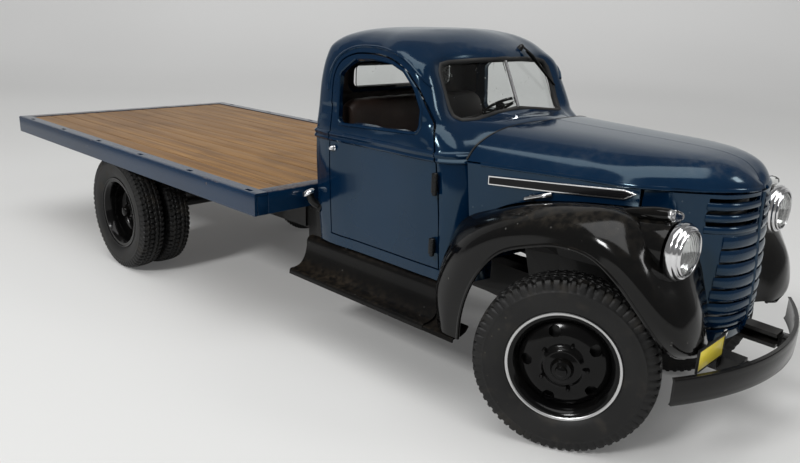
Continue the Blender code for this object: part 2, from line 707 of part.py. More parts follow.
def bed():
    """Steel edge all round with stake pockets, a plank deck inside it, and cross sills under it."""
    half = BED_WIDTH / 2
    for word, side in SIDES:
        ends = [bed_rail_section(side, half, x) for x in (BED_REAR, BED_FRONT)]
        rail = loft(f"bed_rail_{word}", ends)
        pockets = []
        for index in range(POCKET_COUNT):
            x = BED_FRONT - 0.0072 - index * POCKET_PITCH
            y = side * (half - 0.0024)
            pockets.append(((x - POCKET_LENGTH / 2, y - POCKET_WIDTH / 2, BED_TOP - 0.004),
                            (x + POCKET_LENGTH / 2, y + POCKET_WIDTH / 2, BED_TOP + 0.001)))
        cut(rail, blocks(f"pockets_{word}", pockets))
        as_part(rail, "blue paint")
    span = half - BED_FLANGE_WIDTH - GAP
    low = BED_TOP - BED_SIDE_HEIGHT
    # Columns: name, outer place, direction outward
    for name, edge, out in (("bed_header_front", BED_FRONT, 1), ("bed_header_rear", BED_REAR, -1)):
        wall = edge - out * BED_WALL
        inner = edge - out * BED_FLANGE_WIDTH
        outline = [(edge, low), (edge, BED_TOP), (inner, BED_TOP), (inner, BED_TOP - BED_WALL),
                   (wall, BED_TOP - BED_WALL), (wall, low)]
        header = prism(name, outline, "Y", -span, span)
        faces = sorted((edge - out * CORNER_SET_BACK, wall + out * CORNER_SET_BACK))
        for word, side in SIDES:
            across = sorted((side * (span - 0.0010), side * (half - BED_WALL - GAP)))
            join(header, block(f"{name}_corner_{word}", (faces[0], across[0], low + CORNER_SET_BACK),
                               (faces[1], across[1], BED_TOP - BED_WALL - GAP)))
        as_part(header, "blue paint")
    deck_top = BED_TOP - DECK_DROP
    inset = BED_FLANGE_WIDTH + GAP
    as_part(block("bed_deck", (BED_REAR + inset, -half + inset, deck_top - DECK_THICKNESS),
                  (BED_FRONT - inset, half - inset, deck_top)), "wood")
    sill_top = deck_top - DECK_THICKNESS - GAP
    runner_y = RAIL_OUTER_Y - RAIL_WIDTH / 2
    grid = None
    count = int((BED_LENGTH - 2 * inset) / SILL_PITCH) + 1
    first = BED_REAR + (BED_LENGTH - (count - 1) * SILL_PITCH) / 2
    sill_half = half - BED_WALL - GAP
    for index in range(count):
        x = first + index * SILL_PITCH
        over_wheel = abs(x - REAR_AXLE_X) < TYRE_RADIUS + 0.005
        reach = TWIN_CENTRE_Y - TWIN_SPACING / 2 - TYRE_WIDTH / 2 - 0.002 if over_wheel else sill_half
        sill = block(f"bed_sill_{index}", (x - SILL_WIDTH / 2, -reach, low),
                     (x + SILL_WIDTH / 2, reach, sill_top))
        if grid is None:
            grid = sill
            grid.name = "bed_sills"
        else:
            join(grid, sill)
    for word, side in SIDES:
        join(grid, block("bed_runner_" + word,
                         (BED_REAR + inset, side * runner_y - 0.0025, RAIL_TOP + GAP),
                         (BED_FRONT - inset, side * runner_y + 0.0025, low + 0.0010)))
    as_part(grid, "chassis black")


# Cab

def screen_x(y, z):
    """The plane of one half of the V windscreen."""
    return SCREEN_BASE_X - SCREEN_V * abs(y) - SCREEN_RAKE * (z - SCREEN_BASE_Z)


# Level columns: height, rear inset, side inset, rear corner radius, and the front half outline
# from the door line to the middle as pairs of X and Y
CAB_LEVELS = (
    (CAB_SILL, 0.0015, 0.0015, 0.0075,
     ((-0.0560, 0.0455), (-0.0500, 0.0452), (-0.0462, 0.0425), (-0.0440, 0.0392),
      (-0.0405, 0.0220), (-0.0386, 0))),
    (0.0620, 0.0006, 0.0006, 0.0080,
     ((-0.0570, 0.0464), (-0.0505, 0.0458), (-0.0464, 0.0430), (-0.0442, 0.0396),
      (-0.0405, 0.0220), (-0.0386, 0))),
    (0.0860, 0.0000, 0.0000, 0.0085,
     ((-0.0590, 0.0470), (-0.0535, 0.0462), (-0.0492, 0.0436), (-0.0462, 0.0400),
      (-0.0412, 0.0220), (-0.0386, 0))),
    (0.0920, 0.0001, 0.0005, 0.0088,
     ((-0.0600, 0.0465), (-0.0550, 0.0453), (-0.0513, 0.0426), (-0.0486, 0.0380),
      (-0.0412, 0.0210), (-0.0386, 0))),
    (0.0962, 0.0003, 0.0012, 0.0090,
     ((-0.0620, 0.0458), (-0.0567, 0.0441), (-0.0543, 0.0410), (-0.0525, 0.0350),
      (-0.0425, 0.0200), (-0.0389, 0))),
    (0.0990, 0.0004, 0.0016, 0.0092,
     ((-0.0635, 0.0453), (-0.0595, 0.0438), (-0.0574, 0.0405), (-0.0560, 0.0330),
      (-0.0470, 0.0180), (-0.0405, 0))),
)


def cab_level(height, rear_inset, side_inset, corner, front, wall):
    """One horizontal outline of the cab, from the rear middle round the left side."""
    rear = CAB_REAR + rear_inset
    half = CAB_HALF - side_inset
    outline = [(rear, 0), (rear, (half - corner) * 0.6)]
    for step in range(4):
        angle = pi / 2 * step / 3
        outline.append((rear + corner - corner * cos(angle), half - corner + corner * sin(angle)))
    start = rear + corner
    for share in (0.34, 0.67):
        outline.append((start + (front[0][0] - start) * share, half + (front[0][1] - half) * share))
    outline += list(front)
    outline += [(x, -y) for x, y in outline[-2:0:-1]]
    if wall:
        outline = grown(outline, -wall)
    return [(x, y, raised(height)) for x, y in outline]


def screen_front(z, side_x, side_y):
    """The front half outline of the cab at a height in the windscreen."""
    return ((side_x, side_y), (side_x + 0.0042, side_y - 0.0016),
            (side_x + 0.0060, side_y - 0.0050), (screen_x(0.0310, z), 0.0310),
            (screen_x(0.0150, z), 0.0150), (screen_x(0, z), 0))


# The cowl's top slopes gently between these heights, so its inner face is moved down
COWL_TOP_LOW = 0.0970
COWL_TOP_HIGH = 0.1020


def cab_levels(wall=0.0):
    levels = list(CAB_LEVELS)
    # Columns: height, rear inset, side inset, corner radius, side place, front shift back
    for z, rear, side, corner, side_x, back in (
            (0.1016, 0.0005, 0.0018, 0.0092, -0.0650, 0),
            (0.1100, 0.0010, 0.0028, 0.0095, -0.0690, 0),
            (0.1185, 0.0018, 0.0046, 0.0100, -0.0732, 0)):
        levels.append((z, rear, side, corner, screen_front(z, side_x, CAB_HALF - side)))
    # Columns of the dome: height, rear inset, side inset, corner radius, front middle
    for z, rear, side, corner, front in (
            (0.1222, 0.0035, 0.0072, 0.0120, -0.0652), (0.1252, 0.0065, 0.0110, 0.0140, -0.0690),
            (0.1278, 0.0115, 0.0170, 0.0140, -0.0735), (0.1295, 0.0165, 0.0250, 0.0090, -0.0780),
            (CAB_BELT + HEAD_HEIGHT, 0.0210, 0.0330, 0.0045, -0.0805)):
        y = CAB_HALF - side
        x = front - min(0.0120, (front - CAB_REAR - rear) * 0.4)
        levels.append((z, rear, side, corner,
                       ((x, y), (x + (front - x) * 0.29, y * 0.94), (x + (front - x) * 0.52, y * 0.82),
                        (x + (front - x) * 0.67, y * 0.62), (front - 0.0012, y * 0.33), (front, 0))))
    sections = []
    for z, rear, side, corner, front in levels:
        height = z
        if wall and z == CAB_SILL:
            height = z - 0.002
        if wall and COWL_TOP_LOW < z < COWL_TOP_HIGH:
            height = z - wall * 0.75
        if wall and z > 0.1200:
            height = z - wall
        sections.append(cab_level(height, rear, side, corner, front, wall))
    return sections


DOOR_OUTLINE = ((DOOR_REAR, DOOR_BOTTOM), (DOOR_REAR, 0.1080), (-0.1085, 0.1160), (-0.1030, 0.1198),
                (-0.0940, 0.1210), (-0.0860, 0.1208), (-0.0790, 0.1196), (-0.0725, 0.1165),
                (-0.0670, 0.1118), (-0.0622, 0.1055), (-0.0578, 0.0976), (-0.0545, 0.0870),
                (-0.0514, 0.0530), (-0.0511, DOOR_BOTTOM))
# Columns: foot and top of each hinge barrel
DOOR_HINGES = ((0.0545, 0.0590), (0.0765, 0.0810))
# Plan of the tongue that holds a barrel, measured from the hinge axis
HINGE_TONGUE = ((-0.0036, -0.0030), (-0.0014, -0.0030), (-0.0013, -0.0006), (0, -0.0006),
                (0, 0.0007), (-0.0036, -0.0004))
WINDOW_OUTLINE = ((-0.1070, 0.0945), (-0.1073, 0.1080), (-0.1055, 0.1140), (-0.1000, 0.1175),
                  (-0.0900, 0.1188), (-0.0800, 0.1183), (-0.0740, 0.1163), (-0.0690, 0.1120),
                  (-0.0648, 0.1060), (-0.0640, 0.0975), (-0.0660, 0.0960), (-0.1050, 0.0935))


# Columns of the windscreen's opening: place across, lower edge, upper edge
SCREEN_EDGES = ((-SCREEN_HALF, 0.0990, 0.1180), (0, 0.1022, 0.1200), (SCREEN_HALF, 0.0990, 0.1180))
ROOF_SEAM = 0.1216
REAR_WINDOW_HALF = 0.0290
REAR_WINDOW_LOW = 0.1045
REAR_WINDOW_TOP = 0.1155


def rear_window(inset):
    half = REAR_WINDOW_HALF - inset
    low, top = raised(REAR_WINDOW_LOW) + inset, raised(REAR_WINDOW_TOP) - inset
    return rounded([(-half, low), (half, low), (half, top), (-half, top)], 0.0030 - inset)


def side_view(outline):
    return [(x, raised(z)) for x, z in outline]


def cab_solid(name, wall=0.0):
    return loft(name, cab_levels(wall))


def cab():
    """The welded cab shell in three pressings, a door each side, glass, floor and seat."""
    far = 0.2
    seam = raised(ROOF_SEAM)
    # Columns: name, low corner, high corner of the room that holds the pressing
    rooms = (
        ("cab_roof", (-far, -far, seam + GAP), (far, far, far)),
        ("cab_back", (-far, -far, 0), (-0.0850, far, seam)),
        ("cab_cowl", (-0.0850 + GAP, -far, 0), (far, far, seam)),
    )
    for name, low, high in rooms:
        piece = cab_solid(name)
        cut(piece, cab_solid(name + "_inside", CAB_WALL))
        if name == "cab_cowl":
            front, rear = -0.0481, -0.0731
            opening = [[(rear, y, raised(low)), (front, y, raised(low)), (front, y, raised(top)),
                        (rear, y, raised(top))] for y, low, top in SCREEN_EDGES]
            cut(piece, loft("screen_opening", opening))
        keep(piece, block(name + "_room", low, high))
        for word, side in SIDES:
            hole = prism(f"{name}_door_{word}", side_view(DOOR_OUTLINE), "Y",
                         *sorted((side * 0.0385, side * far)))
            if name != "cab_roof":
                cut(piece, hole)
            else:
                bpy.data.objects.remove(hole)
        if name != "cab_roof":
            cut(piece, block(name + "_frame_notch", (-far, -RAIL_OUTER_Y - 0.0015, 0),
                             (far, RAIL_OUTER_Y + 0.0015, RAIL_TOP + GAP)))
        if name == "cab_back":
            window = rear_window(0)
            cut(piece, prism("rear_window_opening", window, "X", -0.1250, -0.1080))
        as_part(piece, "blue paint")
    for word, side in SIDES:
        door = cab_solid(f"door_{word}")
        cut(door, cab_solid(f"door_{word}_inside", DOOR_THICKNESS))
        keep(door, prism(f"door_{word}_room", grown(side_view(DOOR_OUTLINE), -DOOR_GAP), "Y",
                         *sorted((side * (0.0385 + GAP), side * far))))
        cut(door, prism(f"door_{word}_window", side_view(WINDOW_OUTLINE), "Y",
                        *sorted((side * 0.0385, side * far))))
        for index, (foot, top) in enumerate(DOOR_HINGES):
            start = (DOOR_HINGE_X, side * DOOR_HINGE_Y, foot)
            end = (DOOR_HINGE_X, side * DOOR_HINGE_Y, top)
            join(door, rod(f"door_{word}_hinge_{index}", start, end, HINGE_RADIUS, segments=12))
            tongue = [(DOOR_HINGE_X + x, side * (DOOR_HINGE_Y + y)) for x, y in HINGE_TONGUE]
            join(door, prism(f"door_{word}_tongue_{index}", tongue, "Z", foot + 0.0004, top - 0.0004))
        hinge_at(door, (DOOR_HINGE_X, side * DOOR_HINGE_Y, DOOR_BOTTOM))
        as_part(door, "blue paint")
    as_part(block("cab_floor", (-0.1125, -0.0420, RAIL_TOP + GAP),
                  (-0.0500, 0.0420, RAIL_TOP + GAP + FLOOR_THICKNESS)), "chassis black")


def screen_sheet(name, depth, thickness, inset):
    """A V sheet parallel to the windscreen, set in by a depth and an inset all round."""
    sections = []
    for edge, low, top in SCREEN_EDGES:
        y = edge * (1 - inset / SCREEN_HALF)
        low, top = low + inset, top - inset
        front_low, front_top = screen_x(y, low) - depth, screen_x(y, top) - depth
        sections.append([(front_low, y, raised(low)), (front_top, y, raised(top)),
                         (front_top - thickness, y, raised(top)),
                         (front_low - thickness, y, raised(low))])
    return loft(name, sections)


def glazing():
    as_part(screen_sheet("windscreen_glass", 0.0010, GLASS_THICKNESS, GAP), "glass")
    as_part(prism("rear_window_glass", rear_window(GAP), "X", -0.1162, -0.1156), "glass")


FRAME_PROUD = 0.0007
FRAME_DEPTH = 0.0014
FRAME_FACE = 0.0016


def windscreen_frame():
    """The rubber frame round the two panes and the strip over their joint, in the opening."""
    ring = screen_sheet("windscreen_frame", -FRAME_PROUD, FRAME_DEPTH, GAP)
    cut(ring, screen_sheet("screen_clear", -3 * FRAME_PROUD, 3 * FRAME_DEPTH, GAP + FRAME_FACE))
    low, top = SCREEN_EDGES[1][1] + 2 * GAP, SCREEN_EDGES[1][2] - 2 * GAP
    strip = []
    for y in (-0.0007, 0.0007):
        strip.append([(screen_x(0, z) + offset, y, raised(z))
                      for z, offset in ((low, 0.0006), (top, 0.0006), (top, -0.0004), (low, -0.0004))])
    join(ring, loft("screen_strip", strip))
    as_part(ring, "chassis black")


def off_screen(y, z, clear):
    """A place in front of the windscreen, a clear distance off its plane."""
    slope = sqrt(1 + SCREEN_RAKE * SCREEN_RAKE)
    return Vector((screen_x(y, z) + clear / slope, y, raised(z) + clear * SCREEN_RAKE / slope))


def wiper():
    """A wiper that hangs from its pivot over the driver's pane."""
    pivot = (0.0050, 0.1209)
    boss = rod("wiper", off_screen(*pivot, 0.0005), off_screen(*pivot, 0.0024), 0.0011, segments=12)
    middle = off_screen(0.0145, 0.1125, 0.0019)
    join(boss, rod("wiper_arm", off_screen(*pivot, 0.0019), middle, 0.0005, segments=8))
    join(boss, rod("wiper_blade", off_screen(0.0080, 0.1168, 0.0018), off_screen(0.0215, 0.1078, 0.0018),
                   0.0006, segments=8))
    as_part(boss, "chassis black")


def interior():
    outline = [(-0.1080, 0.0538), (-0.0780, 0.0538), (-0.0770, 0.0660), (-0.0800, 0.0680),
               (-0.0990, 0.0650), (-0.1060, 0.1010), (-0.1100, 0.1010), (-0.1115, 0.0600)]
    seat = prism("seat", outline, "Y", -0.0400, 0.0400)
    bevel(seat, 0.0015)
    as_part(seat, "brown vinyl")
    panel = [(-0.0568, 0.0865), (-0.0545, 0.0865), (-0.0545, 0.0945), (-0.0568, 0.0945)]
    as_part(prism("dash", side_view(panel), "Y", -0.0400, 0.0400), "chassis black")


WHEEL_CENTRE = Vector((-0.0735, 0.0180, 0.0955))
COLUMN_FOOT = Vector((-0.0515, 0.0180, 0.0541))
STEERING_WHEEL_RADIUS = 0.0108


def steering_wheel():
    """The rim with three spokes on a column that stands on the floor."""
    axis = (WHEEL_CENTRE - COLUMN_FOOT).normalized()
    profile = [(STEERING_WHEEL_RADIUS + 0.0008 * cos(pi * step / 4), 0.0008 * sin(pi * step / 4))
               for step in range(8, 0, -1)]
    facing = axis.to_track_quat("Z", "Y").to_euler()
    column = rod("steering_wheel", COLUMN_FOOT, WHEEL_CENTRE + axis * 0.0008, 0.0011, segments=12)
    join(column, turned("steering_rim", profile, WHEEL_CENTRE, facing, ring=True))
    for step in range(3):
        angle = 2 * pi * step / 3 + pi / 2
        spoke = Vector((cos(angle), sin(angle), 0)) * STEERING_WHEEL_RADIUS
        join(column, rod(f"spoke_{step}", WHEEL_CENTRE, WHEEL_CENTRE + facing.to_matrix() @ spoke, 0.0005,
                         segments=8))
    as_part(column, "chassis black")


def fuel_filler():
    """The filler neck and its cap at the cab's rear right corner."""
    neck = rod("fuel_filler", (-0.1154, -0.0439, 0.0580), (-0.1190, -0.0464, 0.0606), 0.0014, segments=12)
    join(neck, ball("filler_elbow", (-0.1190, -0.0464, 0.0606), 0.0015))
    join(neck, rod("filler_neck", (-0.1190, -0.0464, 0.0606), (-0.1208, -0.0471, 0.0634), 0.0014, segments=12))
    join(neck, rod("filler_cap", (-0.1204, -0.0470, 0.0628), (-0.1215, -0.0474, 0.0646), 0.0024))
    as_part(neck, "chrome")


# Front end

HOOD_ROWS = ((0, 0), (0.26, 0.015), (0.50, 0.06), (0.68, 0.17), (0.82, 0.36), (0.93, 0.64), (1, 1))


# Columns: ridge x, ridge z, lower edge x, y, z, side panel's foot y and z (none at the nose)
HOOD_STATIONS = (
    (COWL_FRONT + 0.0006, 0.0993, -0.0452, 0.0402, 0.0878, 0.0397, 0.0674),
    (-0.0270, 0.0989, -0.0290, 0.0373, 0.0880, 0.0370, 0.0757),
    (-0.0070, 0.0983, -0.0070, 0.0336, 0.0884, 0.0335, 0.0807),
    (0.0132, 0.0976, 0.0132, 0.0302, 0.0887, 0.0300, 0.0826),
    (0.0200, 0.0972, 0.0215, 0.0256, 0.0889, None, None),
    (0.0265, 0.0966, 0.0282, 0.0203, 0.0890, None, None),
    (0.0310, 0.0954, 0.0335, 0.0143, 0.0890, None, None),
    (0.0345, 0.0928, 0.0366, 0.0078, 0.0889, None, None),
    (0.0362, 0.0902, 0.0376, 0.0002, 0.0884, None, None),
)


def hood_point(station, across, down):
    ridge_x, ridge_z, x, y, z = station[:5]
    return (ridge_x + (x - ridge_x) * across * across, GAP / 2 + (y - GAP / 2) * across,
            ridge_z + (z - ridge_z) * down)


def hood_sheet(name, side):
    made = bmesh.new()
    grid = [[made.verts.new(hood_point(station, across, down)) for across, down in HOOD_ROWS]
            for station in HOOD_STATIONS]
    for station, column in zip(HOOD_STATIONS, grid):
        if station[5]:
            column.append(made.verts.new((station[2] + 0.0019 * (station[0] < -0.03), station[5],
                                          station[6])))
    for first, second in zip(grid, grid[1:]):
        for row in range(min(len(first), len(second)) - 1):
            made.faces.new((first[row], first[row + 1], second[row + 1], second[row]))
    if side == RIGHT:
        bmesh.ops.scale(made, vec=(1, -1, 1), verts=made.verts)
        bmesh.ops.reverse_faces(made, faces=made.faces)
    return new_object(name, mesh_from(name, made))


def hoods():
    for word, side in SIDES:
        panel = hood_sheet(f"hood_{word}", side)
        shell(panel, HOOD_WALL, offset=1.0)
        hinge_at(panel, (HOOD_STATIONS[0][0], 0, HOOD_STATIONS[0][1] + HOOD_WALL))
        as_part(panel, "blue paint")


# Columns: height, side rear x and y, corner x and y, front middle x
SHELL_LEVELS = (
    (0.0440, 0.0280, 0.0182, 0.0324, 0.0157, 0.0384),
    (0.0548, 0.0272, 0.0196, 0.0321, 0.0162, 0.0390),
    (0.0645, 0.0262, 0.0214, 0.0306, 0.0180, 0.0387),
    (0.0740, 0.0240, 0.0236, 0.0288, 0.0200, 0.0380),
    (0.0810, 0.0138, 0.0294, 0.0276, 0.0208, 0.0377),
    (0.0878, 0.0138, 0.0296, 0.0274, 0.0210, 0.0376),
)


def grille_shell():
    sections = []
    for z, rear_x, rear_y, corner_x, corner_y, front in SHELL_LEVELS:
        half = [(rear_x, rear_y), (rear_x + (corner_x - rear_x) * 0.55, rear_y + (corner_y - rear_y) * 0.42),
                (corner_x, corner_y)]
        depth = front - corner_x
        for share in (0.8, 0.6, 0.4, 0.2, 0):
            y = corner_y * share
            half.append((corner_x + depth * sqrt(1 - share * share * 0.96) - 0.2 * depth * share ** 4, y))
        ring = half + [(x, -y) for x, y in half[-2::-1]]
        sections.append([(x, y, z) for x, y in ring])
    face = loft("grille_shell", sections, closed_ring=False)
    shell(face, SHELL_WALL, offset=-1.0)
    boxes = []
    # Columns: slot heights, inner and outer ends
    for heights, inner, outer in (((0.0860, 0.0824, 0.0788), 0.0022, 0.0185),
                                  ((0.0712, 0.0669, 0.0626, 0.0583, 0.0540, 0.0497, 0.0454),
                                   0.0012, 0.0150)):
        for z in heights:
            for _, side in SIDES:
                near, far = sorted((side * inner, side * outer))
                boxes.append(((0.0290, near, z - 0.0009), (0.0450, far, z + 0.0009)))
    cut(face, blocks("grille_slots", boxes))
    as_part(face, "blue paint")


# Fender columns: lip x, y, z; side x, y, z; crown x, y, z; inner edge x, y, z
FENDER_STATIONS = (
    (-0.0335, 0.0548, 0.0305, -0.0400, 0.0545, 0.0305, -0.0455, 0.0510, 0.0310, -0.0470, 0.0462, 0.0320),
    (-0.0330, 0.0550, 0.0384, -0.0410, 0.0545, 0.0410, -0.0470, 0.0510, 0.0450, -0.0482, 0.0464, 0.0460),
    (-0.0309, 0.0550, 0.0473, -0.0385, 0.0545, 0.0515, -0.0445, 0.0510, 0.0545, -0.0476, 0.0454, 0.0570),
    (-0.0265, 0.0550, 0.0565, -0.0330, 0.0545, 0.0615, -0.0385, 0.0500, 0.0650, -0.0450, 0.0418, 0.0668),
    (-0.0185, 0.0550, 0.0654, -0.0225, 0.0545, 0.0695, -0.0270, 0.0490, 0.0735, -0.0320, 0.0384, 0.0735),
    (-0.0077, 0.0550, 0.0701, -0.0100, 0.0543, 0.0745, -0.0135, 0.0480, 0.0788, -0.0165, 0.0358, 0.0784),
    (0.0026, 0.0550, 0.0726, 0.0020, 0.0540, 0.0770, 0.0005, 0.0470, 0.0820, -0.0010, 0.0332, 0.0806),
    (0.0125, 0.0548, 0.0719, 0.0135, 0.0535, 0.0765, 0.0140, 0.0460, 0.0822, 0.0138, 0.0316, 0.0812),
    (0.0205, 0.0535, 0.0665, 0.0225, 0.0530, 0.0700, 0.0225, 0.0460, 0.0765, 0.0245, 0.0266, 0.0765),
    (0.0265, 0.0510, 0.0590, 0.0295, 0.0505, 0.0610, 0.0305, 0.0440, 0.0655, 0.0290, 0.0222, 0.0700),
    (0.0315, 0.0465, 0.0505, 0.0350, 0.0460, 0.0525, 0.0365, 0.0405, 0.0570, 0.0318, 0.0200, 0.0600),
    (0.0340, 0.0410, 0.0450, 0.0380, 0.0400, 0.0465, 0.0385, 0.0350, 0.0490, 0.0335, 0.0186, 0.0510),
    (0.0345, 0.0330, 0.0418, 0.0375, 0.0320, 0.0430, 0.0378, 0.0280, 0.0445, 0.0338, 0.0182, 0.0455),
)


# A long teardrop housing with a small lens at its front end. Columns: radius, place along
PARKING_LAMP = ((0, 0.0228), (0.0010, 0.0225), (0.0014, 0.0214), (0.0015, 0.0196), (0.0020, 0.0190),
                (0.0023, 0.0150), (0.0020, 0.0100), (0.0012, 0.0045), (0, 0.0005))
PARKING_X = 0.0075
PARKING_Z = 0.0812
PARKING_TILT = 0.142


def fenders():
    for word, side in SIDES:
        sections = []
        for row in FENDER_STATIONS:
            points = [row[index:index + 3] for index in (0, 3, 6, 9)]
            sections.append([(x, side * y, z) for x, y, z in points])
        wing = loft(f"fender_{word}", sections, closed_ring=False)
        shell(wing, FENDER_WALL, offset=0)
        # Columns: radius, place behind the lamp's seat
        profile = [(0, POD_FRONT - 0.0005), (LAMP_RADIUS - 0.0004, POD_FRONT - 0.0005),
                   (LAMP_RADIUS - 0.0010, 0.0200), (0.0056, 0.0100), (0.0026, 0.0030), (0, 0.0005)]
        pod = turned("pod_" + word, profile, (0, side * POD_Y, POD_Z), (0, pi / 2, 0), steps=24)
        join(wing, pod)
        seat = rod("lamp_seat_" + word, (POD_FRONT - 0.0002, side * POD_Y, POD_Z),
                   (POD_FRONT + 0.0200, side * POD_Y, POD_Z), LAMP_RADIUS + GAP, segments=24)
        cut(wing, seat)
        join(wing, turned("parking_lamp_" + word, PARKING_LAMP, (PARKING_X, side * POD_Y, PARKING_Z),
                          (0, pi / 2 - PARKING_TILT, 0), steps=16))
        as_part(wing, "black paint")


# Columns: place along, top Y and Z, middle Y and Z, foot Z
APRON_STATIONS = (
    (-0.0300, 0.0362, 0.0690, 0.0240, 0.0575, 0.0450),
    (-0.0165, 0.0340, 0.0750, 0.0236, 0.0585, 0.0435),
    (-0.0010, 0.0315, 0.0775, 0.0235, 0.0585, 0.0425),
    (0.0130, 0.0296, 0.0780, 0.0232, 0.0580, 0.0410),
    (0.0225, 0.0256, 0.0740, 0.0222, 0.0575, 0.0400),
)


def aprons():
    """Inner panels that close the room between each fender and its frame rail."""
    foot_y = HORN_OUTER_Y + FENDER_WALL / 2 + GAP
    for word, side in SIDES:
        sections = [[(x, side * top_y, top_z), (x, side * middle_y, middle_z), (x, side * foot_y, foot_z)]
                    for x, top_y, top_z, middle_y, middle_z, foot_z in APRON_STATIONS]
        apron = loft(f"fender_apron_{word}", sections, closed_ring=False)
        shell(apron, FENDER_WALL, offset=0)
        as_part(apron, "chassis black")


def pods():
    for word, side in SIDES:
        profile = [(0, 0.0056), (LAMP_RADIUS * 0.45, 0.0050), (LAMP_RADIUS * 0.76, 0.0034),
                   (LAMP_RADIUS * 0.90, 0.0030), (LAMP_RADIUS, 0.0018), (LAMP_RADIUS, 0),
                   (0, 0)]
        lamp = turned(f"headlamp_{word}", profile, (POD_FRONT + GAP, side * POD_Y, POD_Z),
                      (0, pi / 2, 0), steps=24)
        as_part(lamp, "chrome")


RUNNING_BOARD = ((0.0425, 0.0429), (0.0458, 0.0429), (0.0464, 0.0385), (0.0478, 0.0340), (0.0500, 0.0316),
                 (0.0525, 0.0308), (0.0552, 0.0305), (0.0557, 0.0285))


def running_boards():
    for word, side in SIDES:
        sections = [[(x, side * y, z) for y, z in RUNNING_BOARD] for x in (-0.1260, -0.0492)]
        board = loft(f"running_board_{word}", sections, closed_ring=False)
        shell(board, 0.0012, offset=0)
        as_part(board, "black paint")


wheels()
knuckles()
tie_rod()
front_axle()
rear_axle()
frame()
front_crossmember()
bumper()
number_plate()
drive_line()
exhaust()
bed()
cab()
glazing()
windscreen_frame()
wiper()
interior()
steering_wheel()
fuel_filler()
hoods()
grille_shell()
fenders()
aprons()
pods()
running_boards()
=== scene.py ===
import bpy
import bmesh
from math import cos, pi, radians, sin, sqrt
from mathutils import Matrix, Vector
from mathutils.bvhtree import BVHTree


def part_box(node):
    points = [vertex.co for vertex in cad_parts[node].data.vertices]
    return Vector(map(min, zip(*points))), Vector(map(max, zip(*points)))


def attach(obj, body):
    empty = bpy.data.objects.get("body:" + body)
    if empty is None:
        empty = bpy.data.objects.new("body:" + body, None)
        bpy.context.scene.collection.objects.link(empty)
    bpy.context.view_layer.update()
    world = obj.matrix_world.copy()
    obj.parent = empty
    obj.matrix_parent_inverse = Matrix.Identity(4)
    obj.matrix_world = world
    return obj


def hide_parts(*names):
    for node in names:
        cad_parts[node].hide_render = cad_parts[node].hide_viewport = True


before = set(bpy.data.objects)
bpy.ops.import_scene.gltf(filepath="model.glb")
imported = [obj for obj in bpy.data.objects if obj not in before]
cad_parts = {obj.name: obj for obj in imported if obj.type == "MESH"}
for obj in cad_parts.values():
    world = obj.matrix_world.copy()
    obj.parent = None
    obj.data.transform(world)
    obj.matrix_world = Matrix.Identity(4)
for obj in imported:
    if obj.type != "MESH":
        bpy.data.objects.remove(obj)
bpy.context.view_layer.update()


# Camera, paper sweep and lamps
# The model stands on a pale paper sweep under soft lamps. Every place below is measured from
# the front axle and the floor, as in the part's source, in metres, or in millimetres in mm().

NOSE_TO_AXLE = 0.0520
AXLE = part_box("front_bumper")[1][0] - NOSE_TO_AXLE

IMAGE_WIDTH, FOCAL_PIXELS, SENSOR = 800, 736.1, 36
EYE = Vector((AXLE + 0.1113, -0.2331, 0.1361))
right = Vector((0.7087, 0.7047, 0.0343)).normalized()
back = Vector((0.6685, -0.6863, 0.2866))
back = (back - right * back.dot(right)).normalized()
up = back.cross(right)
lens = bpy.data.cameras.new("camera")
lens.sensor_width = SENSOR
lens.lens = FOCAL_PIXELS / IMAGE_WIDTH * SENSOR
lens.clip_start = 0.005
camera = bpy.data.objects.new("camera", lens)
camera.matrix_world = Matrix.Translation(EYE) @ Matrix((right, up, back)).transposed().to_4x4()
bpy.context.scene.collection.objects.link(camera)
bpy.context.scene.camera = camera
bpy.context.scene.view_settings.view_transform = "Standard"


def toward(direction):
    """The turn that takes the Z axis to a direction."""
    return Vector(direction).to_track_quat("Z", "Y").to_matrix().to_4x4()


class Signal:
    """A shader socket that can be added, scaled and compared like a number."""

    def __init__(self, finish, socket):
        self.finish, self.socket = finish, socket

    def maths(self, operation, *values):
        return self.finish.node("ShaderNodeMath", dict(enumerate(values)), operation=operation)

    def __add__(self, other):
        return self.maths("ADD", self, other)

    def __sub__(self, other):
        return self.maths("SUBTRACT", self, other)

    def __rsub__(self, other):
        return self.maths("SUBTRACT", other, self)

    def __mul__(self, other):
        return self.maths("MULTIPLY", self, other)

    def __truediv__(self, other):
        return self.maths("DIVIDE", self, other)

    def above(self, low, high):
        """0 under low, 1 over high, and smooth between."""
        return self.finish.node("ShaderNodeMapRange", {0: self, 1: low, 2: high, 3: 0.0, 4: 1.0},
                                interpolation_type="SMOOTHSTEP")

    def blend(self, first, second):
        """A colour between two, by this signal."""
        return self.finish.node("ShaderNodeMix", {0: self, 6: first, 7: second}, out=2,
                                data_type="RGBA")


